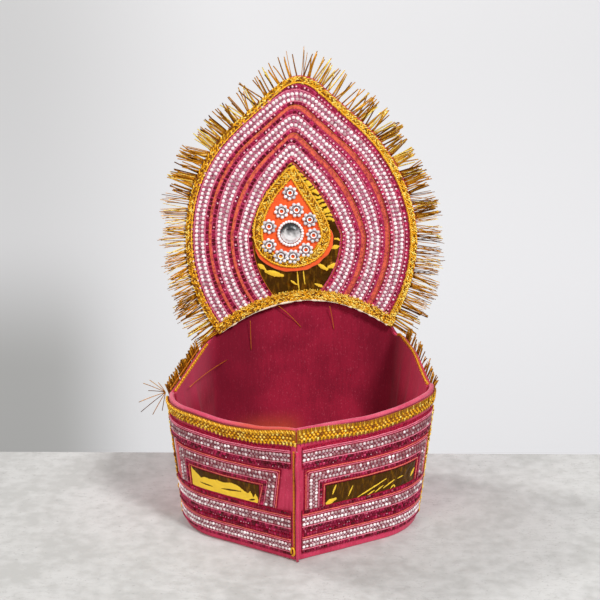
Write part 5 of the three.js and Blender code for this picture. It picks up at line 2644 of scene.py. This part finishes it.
    def build_galloon(self, row: int, name: str) -> None:
        """Sews a stone galloon round the leaf, with the coral ribbon inside it.

        Args:
            row: Its number from the outside in.
            name: Its name.
        """
        piece = f"leaf_stones_{name}"
        parts = []
        last = row + 1 == len(self.trims)
        following = self.inset(row + 1)
        for span in self.halves(self.inset(row), self.window if last else following):
            net = Bench.board(f"{piece}_net", (0, 0, 0.3), (1, 1, 0.9), (90, 14))
            parts.append(self.galloon.net(net, self.pitches[0] * Bench.points(net)[:, 1]))
            Bench.wrap(net, span.wrap)
        if not last:
            outer = np.array(self.inset(row))
            for span in self.halves(tuple(outer + self.ribbons), tuple(outer + self.ribbon_ends)):
                ribbon = Bench.board(f"{piece}_ribbon", (0, 0, 0.9), (1, 1, 1.35), (90, 4))
                parts.append(RIBBON.on(Bench.wrap(ribbon, span.wrap)))

        def line_at(across: float) -> Line:
            """The line at a distance inside the galloon's outer edge."""
            return LEAF.outline(*self.inset(row, across))

        parts += self.galloon.build(piece, line_at, LEAF.wrap, self.stone_tone, 10 + row)
        dressed(Bench.join(piece, parts), "stone_galloon", f"leaf_galloon_{name}")

    def build_stitches(self) -> None:
        """Sews the trims through the board, with stitches that show on its back."""
        rng = hand(7)
        lines = [LEAF.outline(*self.braid_insets, 3.0)]
        lines += [LEAF.outline(*self.inset(row, 6.6)) for row in range(len(self.trims))]
        paths = [running_stitch(line, LEAF.wrap, -self.thick - 0.1, rng) for line in lines]
        stitches = Yarn(0.24, 5).laid("leaf_back_stitches", np.concatenate(paths))
        dressed(PINK_THREAD.on(stitches), "pink_cloth")

    def build_foil(self) -> None:
        """Lays the crinkled foil inside the galloons."""
        outline = LEAF.closed(LEAF.outline(*self.window), LEAF.arch_braid, 190, 50)
        sheet = Bench.cut("leaf_window_foil", outline, (self.gap, 0.7), 80)
        flat = Bench.points(sheet)[:, :2]
        x, z = flat.T
        # painted light: a lit fan of fine folds at the upper right of the foil, besides the bright creases
        beat = (z - 0.6 * x) * 2 * math.pi / 4.4
        fan = 0.6 + 0.4 * np.sin(beat + 2 * ripple(flat, 9, 61))
        fan *= ease(196, 208, z + 1.05 * x) * ease(176, 190, z)
        glint = np.maximum(crease_light(x, z, self.foil_lights, 1.0), 0.95 * fan)
        crumple = 0.3 * np.abs(ripple(flat, 12, 62)) + 0.35 * glint
        crinkled(sheet, glint, crumple, LEAF.wrap, "leaf_foil")

    def build(self) -> None:
        """Builds the leaf and its trims."""
        self.build_plate()
        self.build_braids()
        for row, name in enumerate(self.trims):
            self.build_galloon(row, name)
        self.build_stitches()
        self.build_foil()


@dataclass(frozen=True)
class Drop:
    """The orange felt drop with its gold braid, crystal flowers and mirror jewel."""

    half_width: float = 27.8
    depth: float = 25.0
    peak: float = 50.0
    bends: Pair = (0.432, 0.25)
    axis: float = 0.8
    lean: float = 1.3
    low: float = 1.1
    high: float = 2.6
    braid: float = 7.2
    braid_peak: float = 44.6
    felt_in: float = 1.5
    felt_out: float = 4.6
    jewel: Pair = (-8.2, 176.0)
    jewel_r: float = 7.3
    jewel_height: float = 3.2
    jewel_table: float = 0.62
    jewel_girdle: float = 1.0
    ring_r: float = 8.6
    ring_beads: int = 26
    bead_r: float = 1.12
    flowers: tuple[Pair, ...] = (
        (0.5, 29.0), (-6.0, 15.9), (4.7, 16.8), (13.9, 9.8), (16.4, -1.4),
        (10.9, -11.9), (1.6, -16.8), (-7.1, -16.5), (-15.4, -8.5), (-15.3, 5.1),
    )
    petals: int = 8
    petal_ring: float = 4.2
    petal_r: float = 1.3
    # dark beads between the petals and the middle: painted shade in the gaps
    pit_ring: float = 3.05
    pit_r: float = 0.72
    inner_hoop: Pair = (1.8, 0.5)
    outer_hoop: Pair = (3.8, 0.55)
    gap: float = 0.3

    @property
    def middle(self) -> Array:
        """The middle of the drop's round foot."""
        return np.array([self.jewel[0] + self.axis, self.jewel[1]])

    def edge(self, inset: float, peak: float) -> Line:
        """The drop's edge, moved in by an inset, from its tip down the left and up the right.

        Args:
            inset: How far the edge is moved in.
            peak: Height of the tip over the foot's middle.

        Returns:
            The line.
        """
        wide = self.half_width - inset
        share = np.linspace(0, 1, 30)[:-1, None]
        turns = np.linspace(0, -math.pi / 2, 50)
        foot = stack(wide * np.cos(turns), (self.depth - inset) * np.sin(turns))
        halves = []
        for rise in self.bends:
            start, bend, tip = np.array([[wide, 0.0], [wide, rise * peak], [0.0, peak]])
            flank = (1 - share) ** 2 * tip + 2 * share * (1 - share) * bend + share**2 * start
            halves.append(np.concatenate([flank, foot]))
        whole = np.concatenate([halves[0] * np.array([-1.0, 1.0]), halves[1][-2::-1]])
        whole[:, 0] += self.lean * ease(0.6 * peak, peak, whole[:, 1])
        return Line(whole + self.middle)

    def seat(self, spots: Array, lift: float) -> Seats:
        """Seats on the felt, with their x across the leaf."""
        flat = np.concatenate([spots, np.full((len(spots), 1), lift)], axis=1)
        return Seats.on(LEAF.wrap, flat, np.tile([1.0, 0.0], (len(spots), 1)))

    def build_felt(self) -> None:
        """Cuts the felt, which stands out beyond the braid at its foot, and lays it on the foil."""
        edge = self.edge(self.felt_in, self.braid_peak)
        outline = edge.at(np.linspace(0, edge.length, 181)[:-1])
        out = unit(outline - self.middle)
        turn = np.degrees(np.arctan2(out[:, 1], out[:, 0]))
        spill = self.felt_out * ease(25, -20, turn) * ease(-180, -135, turn) + 0.4 * ripple(outline, 6, 81)
        outline = outline + out * spill[:, None]
        felt = Bench.cut("felt_cut", outline, (self.low, self.high), 12)
        Bench.round_edges(felt, 0.4)
        Bench.smooth(Bench.wrap(felt, LEAF.wrap))
        dressed(ORANGE_FELT.on(felt), "orange_felt", "felt_drop")

    def build_braid(self) -> None:
        """Sews the gold braid round the drop, with its ends crossed over at the tip."""
        strip = Strip(self.edge(self.braid / 2, self.braid_peak), LEAF.wrap)
        braid = GoldBraid(self.braid, cords=(2.8, -2.8)).build("drop_braid", strip, self.high - 0.35)
        dressed(braid, "gold_braid", "felt_braid")

    def bead(self, radius: float, flat: float = 0.8) -> Small:
        """A round bead, modelled once and pressed a little flat.

        Args:
            radius: Its radius.
            flat: Its height as a share of its width.

        Returns:
            The bead.
        """
        obj = Bench.start("bead", bpy.ops.mesh.primitive_ico_sphere_add, subdivisions=2, radius=radius)
        with Bench.editing(obj):
            bpy.ops.transform.resize(value=(1, 1, flat), center_override=(0, 0, 0))
            bpy.ops.transform.translate(value=(0, 0, radius * flat))
        return Small.taken(obj)

    def hoop(self, ring: float, radius: float) -> Small:
        """A plain ring, modelled once.

        Args:
            ring: Radius of the ring.
            radius: Radius of its wire.

        Returns:
            The ring.
        """
        sizes = {"major_radius": ring, "minor_radius": radius, "major_segments": 28, "minor_segments": 8}
        obj = Bench.start("hoop", bpy.ops.mesh.primitive_torus_add, **sizes)
        with Bench.editing(obj):
            bpy.ops.transform.translate(value=(0, 0, radius * 1.2))
            bpy.ops.transform.resize(value=(1, 1, 1.1), center_override=(0, 0, 0))
        return Small.taken(obj)

    def around(self, spot: Sequence[float], ring: float, count: int, shift: float = 0.0) -> Array:
        """Places round a middle."""
        turns = (np.arange(count) + shift) * 2 * math.pi / count
        return np.array(spot) + ring * stack(np.cos(turns), np.sin(turns))

    def build_flowers(self) -> None:
        """Builds the crystal flowers: a ring of beads round an open middle, with dark beads of painted shade
        in the gaps.
        """
        spots = np.array(self.jewel) + np.array(self.flowers)
        petal = self.bead(self.petal_r, 0.75)
        pit = self.bead(self.pit_r)
        hoop = self.hoop(*self.inner_hoop)
        rim = self.hoop(*self.outer_hoop)
        rng = hand(2)
        lift = self.high + self.gap
        for i, spot in enumerate(spots):
            shift = rng.random()
            petals = self.around(spot, self.petal_ring, self.petals, shift)
            # painted shade: dark beads in the gaps between the petals
            pits = self.around(spot, self.pit_ring, self.petals, shift + 0.5)
            bright, dark = rng.uniform(0.3, 1, self.petals), rng.uniform(0, 1, self.petals)
            middle = self.seat(spot[None], lift)
            parts = [
                WHITE_BEAD.on(petal.copies("petals", self.seat(petals, lift), tone=bright)),
                PAINTED_SHADE_BEAD.on(pit.copies("pits", self.seat(pits, lift + 0.75), tone=dark)),
                WHITE_BEAD.on(hoop.copies("hoop", middle, tone=np.ones(1))),
                WHITE_BEAD.on(rim.copies("rim", middle, tone=np.full(1, 0.3))),
            ]
            flower = Bench.smooth(Bench.join(f"crystal_flower_{i + 1}", parts))
            dressed(flower, "crystal", f"flower_{i + 1}")

    def build_jewel(self) -> None:
        """Builds the mirror stone and its ring of beads."""
        lift = self.high + self.gap
        spots = self.around(self.jewel, self.ring_r, self.ring_beads)
        tone = hand(3).uniform(0.75, 1, self.ring_beads)
        middle = self.seat(np.array([self.jewel]), lift)
        beads = self.bead(self.bead_r, 0.95).copies("beads", self.seat(spots, lift), tone=tone)
        band = self.hoop(self.ring_r - 0.1, 0.75).copies("band", middle, tone=np.full(1, 0.5))
        ring = Bench.join("beaded_ring", [WHITE_BEAD.on(beads), WHITE_BEAD.on(band)])
        dressed(Bench.smooth(ring), "crystal", "jewel_ring")
        high = self.jewel_height
        steps = ((self.jewel_girdle, 1.0), (high * 0.8, 0.8), (high, self.jewel_table))
        cut = Small.cut(16, self.jewel_r, steps).copies("silvered_stone", middle)
        # painted reflection: the silver goes dark towards the top
        silver = Mirror("silvering", srgb(255, 255, 255), srgb(58, 62, 64), self.jewel[1])
        dressed(silver.on(cut), "mirror_stone", "mirror_stone")

    def build(self) -> None:
        """Builds the drop and its jewels."""
        self.build_felt()
        self.build_braid()
        self.build_flowers()
        self.build_jewel()


# The tinsel


@dataclass(frozen=True)
class Tinsel:
    """The fringe of slit film round the leaf and along the sides; strays have an angle and a length."""

    length: float = 19.5
    lock: float = 7.0
    root_in: float = 1.2
    runs: tuple[tuple[str, float, float], ...] = (("lower", 0.0, 0.53), ("upper", 0.53, 0.995))
    strand: Yarn = Yarn(0.5, 4, 0.55)
    side_run: Pair = (4.0, 66.0)
    side_below: float = 8.0
    side_length: float = 14.0
    side_flare: float = 2.5
    side_strands: tuple[int, int] = (190, 48)
    stray_root: tuple[float, float, float] = (-92.0, -12.0, 89.0)
    strays: tuple[Pair, ...] = (
        (118, 10), (134, 15), (150, 17), (166, 12), (196, 19), (216, 21), (238, 17), (258, 12),
    )

    def build_leaf_run(self, side: Side, run: tuple[str, float, float]) -> None:
        """Builds the fringe on a part of one half of the leaf, in locks that lean their own way.

        Args:
            side: Which half.
            run: Its name, and where it starts and ends as shares of the half.
        """
        name, start, end = run
        rng = hand(70 + 3 * side.value + len(name) + int(end * 10))
        line = LEAF.half(side, (self.root_in, self.root_in), 0.0)
        places, headings, lengths, lifts, tones = [], [], [], [], []
        locks = max(1, round((end - start) * line.length / self.lock))
        for i in range(locks):
            middle = lerp(start, end, (i + 0.5) / locks) * line.length
            thin = lerp(1.42, 0.55, float(ease(0.5, 0.9, middle / line.length)))
            count = int(rng.integers(8, 14) * thin)
            lean = rng.normal(0, 0.12)
            pull = rng.uniform(0.5, 1.2)
            offset = rng.uniform(-0.5, 0.5, count) * self.lock * 1.1
            places.append(middle + offset)
            headings.append(lean - pull * offset / self.length * 0.5 + rng.normal(0, 0.1, count))
            lengths.append(self.length * rng.uniform(0.9, 1.08) * rng.uniform(0.72, 1.05, count))
            lifts.append(rng.normal(0, 0.5) + rng.normal(0, 0.7, count))
            tones.append(np.clip(rng.normal(0.47, 0.12) + rng.normal(0, 0.32, count), 0, 1))
        along = np.clip(np.concatenate(places), 0, line.length)
        heading = line.heading(along)
        out = side.value * stack(heading[:, 1], -heading[:, 0])
        swing = np.concatenate(headings)[:, None]
        out = unit(out + heading * np.tan(swing))
        share = np.linspace(0, 1, 6)[None, :, None]
        reach = np.concatenate(lengths)[:, None, None] * share
        bow = rng.normal(0, 0.9, (len(along), 1, 1)) * share**2
        flat = line.at(along)[:, None, :] + out[:, None, :] * reach + heading[:, None, :] * bow
        lift = -1.5 + np.concatenate(lifts)[:, None, None] * share * 1.6
        paths = LEAF.wrap(np.concatenate([flat, np.broadcast_to(lift, flat.shape[:2] + (1,))], axis=-1))
        taper = np.linspace(1.1, 0.75, 6)[None, :]
        tone = np.concatenate(tones)
        fringe = self.strand.laid(f"tinsel_{name}_{side.label}", paths, taper, tone)
        dressed(TINSEL.on(fringe), "gold_tinsel", f"leaf_fringe_{name}_{side.label}")

    def build_side(self, side: Side) -> None:
        """Builds the short fringe outside the back wall, with a few long strays on the left.

        Args:
            side: The side.
        """
        rng = hand(80 + side.value)
        count = side.of(self.side_strands)
        s = np.sort(rng.uniform(*self.side_run, count))
        x = BACK.spot(side, s)
        share = np.linspace(0, 1, 6)[None, :]
        low = BACK.top(x)[:, None] - self.side_below
        length = self.side_length * rng.uniform(0.6, 1.06, (count, 1))
        sway = rng.normal(0, 1.6, (count, 1)) * share**1.5
        flare = 0.7 + self.side_flare * rng.uniform(0.4, 1.3, (count, 1)) * share**1.5
        paths = [BACK.wrap(stack(x[:, None] + sway, low + length * share, flare))]
        if side is Side.LEFT:
            degrees, far = np.array(self.strays).T[:, :, None]
            turns, reach = np.radians(degrees), far * share
            fan = stack(np.cos(turns) * reach, -0.12 * reach, np.sin(turns) * reach - 1.2 * share**2)
            paths.append(np.array(self.stray_root) + fan)
        tone = np.clip(rng.normal(0.32, 0.2, sum(len(path) for path in paths)), 0, 1)
        taper = np.where(np.arange(len(tone)) < count, 0.8, 0.5)[:, None]
        fringe = self.strand.laid(f"tinsel_side_{side.label}", np.concatenate(paths), taper, tone)
        dressed(TINSEL.on(fringe), "gold_tinsel", f"side_fringe_{side.label}")

    def build(self) -> None:
        """Builds all the fringe."""
        for side in Side:
            for run in self.runs:
                self.build_leaf_run(side, run)
            self.build_side(side)


# The studio


@dataclass(frozen=True)
class Lamp:
    """A soft lamp: its place and aim in metres, its size, its power in watts and its colour."""

    name: str
    place: tuple[float, float, float]
    aim: tuple[float, float, float]
    size: float
    power: float
    colour: tuple[float, float, float] = (1.0, 1.0, 1.0)

    def build(self) -> None:
        """Hangs the lamp."""
        data = bpy.data.lights.new(self.name, "AREA")
        data.shape = "DISK"
        data.size = self.size
        data.energy = self.power
        data.color = self.colour
        lamp = bpy.data.objects.new(self.name, data)
        bpy.context.scene.collection.objects.link(lamp)
        lamp.location = self.place
        heading = Vector(self.aim) - Vector(self.place)
        lamp.rotation_euler = heading.to_track_quat("-Z", "Y").to_euler()


@dataclass(frozen=True)
class Studio:
    """The table, the wall far behind it, the lamps and the camera."""

    table_edge: float = 0.0921
    table_half: float = 3.0
    table_thick: float = 0.05
    table_round: float = 0.002
    wall_y: float = 1.7
    wall_size: Pair = (9.0, 6.0)
    skirting: float = 0.05
    target: tuple[float, float, float] = (0.0, 0.0, 130.0)
    elevation: float = math.radians(19.5)
    azimuth: float = math.radians(0.6)
    distance: float = 1100.0
    lens: float = 97.35
    sensor: float = 36.0
    shift: Pair = (-0.0017, 0.05)
    ambient: float = 0.24
    sky: Colour = (0.95, 0.97, 1.0, 1.0)
    lamps: tuple[Lamp, ...] = (
        Lamp("key", (0.85, -1.15, 1.5), (0, 0, 0.1), 0.4, 32.0),
        Lamp("behind", (-1.15, 0.6, 1.35), (0, 0, 0.06), 0.35, 13.0),
        Lamp("front", (-1.1, -1.6, 1.2), (0, 0, 0.12), 1.0, 17.0, (1.0, 0.91, 0.86)),
    )

    def build_table(self) -> None:
        """Builds the table top as a slab with a softened edge."""
        table = Bench.start("table_top", bpy.ops.mesh.primitive_cube_add, size=1)
        depth = self.table_half + self.table_edge
        with Bench.editing(table):
            bpy.ops.transform.resize(value=(2 * self.table_half, depth, self.table_thick))
            middle = (0, self.table_edge - depth / 2, -self.table_thick / 2)
            bpy.ops.transform.translate(value=middle)
            bpy.ops.mesh.bevel(offset=self.table_round, segments=2, affect="EDGES")
        stone = Stone("table_stone", srgb(202, 202, 200), srgb(180, 180, 177), srgb(130, 128, 124))
        stone.on(table)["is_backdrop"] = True

    def build_wall(self) -> None:
        """Builds the wall as a thin slab, as thick as the skirting."""
        wall = Bench.start("far_wall", bpy.ops.mesh.primitive_plane_add, size=1)
        with Bench.editing(wall):
            bpy.ops.transform.resize(value=(*self.wall_size, 1))
            bpy.ops.mesh.extrude_region_move(TRANSFORM_OT_translate={"value": (0, 0, self.skirting)})
        points = Bench.points(wall)
        Bench.move(wall, stack(points[:, 0], self.wall_y + points[:, 2], points[:, 1]))
        Plaster("pale_wall", srgb(252, 252, 254), srgb(182, 182, 180)).on(wall)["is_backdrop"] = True

    def build_camera(self) -> None:
        """Sets the camera at the portrait's angle."""
        data = bpy.data.cameras.new("portrait")
        data.lens = self.lens
        data.sensor_width = self.sensor
        data.shift_x, data.shift_y = self.shift
        camera = bpy.data.objects.new("portrait", data)
        bpy.context.scene.collection.objects.link(camera)
        level = math.cos(self.elevation)
        back = Vector(
            (math.sin(self.azimuth) * level, -math.cos(self.azimuth) * level, math.sin(self.elevation))
        )
        target = Vector((np.array(self.target) + ORIGIN) * MM)
        camera.location = target + back * self.distance * MM
        camera.rotation_euler = (-back).to_track_quat("-Z", "Y").to_euler()
        bpy.context.scene.camera = camera

    def build(self) -> None:
        """Builds the studio."""
        scene = bpy.context.scene
        scene.view_settings.view_transform = "Standard"
        world = bpy.data.worlds.new("soft_room")
        world.use_nodes = True
        sky = world.node_tree.nodes["Background"]
        sky.inputs["Color"].default_value = self.sky
        sky.inputs["Strength"].default_value = self.ambient
        scene.world = world
        for lamp in self.lamps:
            lamp.build()
        self.build_table()
        self.build_wall()
        self.build_camera()


def write_sizes(construction: tuple[Vector, Vector]) -> None:
    """Works out the box of the construction and the box of the dressed crown.

    Args:
        construction: Lowest and highest corner before dressing.
    """
    boxes = {"cad": construction, "visual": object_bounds()}
    {name: [list(corner) for corner in box] for name, box in boxes.items()}


def main() -> None:
    """Builds the studio and dresses the crown, piece by piece."""
    logging.basicConfig(level=logging.INFO, format="%(name)s: %(message)s")
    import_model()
    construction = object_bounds()
    tray = StoneTray()
    for assembly in (Studio(), FrontBand(), BackBand(), PanelTrims(tray), Leaf(tray), Drop(), Tinsel()):
        assembly.build()
    write_sizes(construction)


if __name__ == "__main__":
    main()
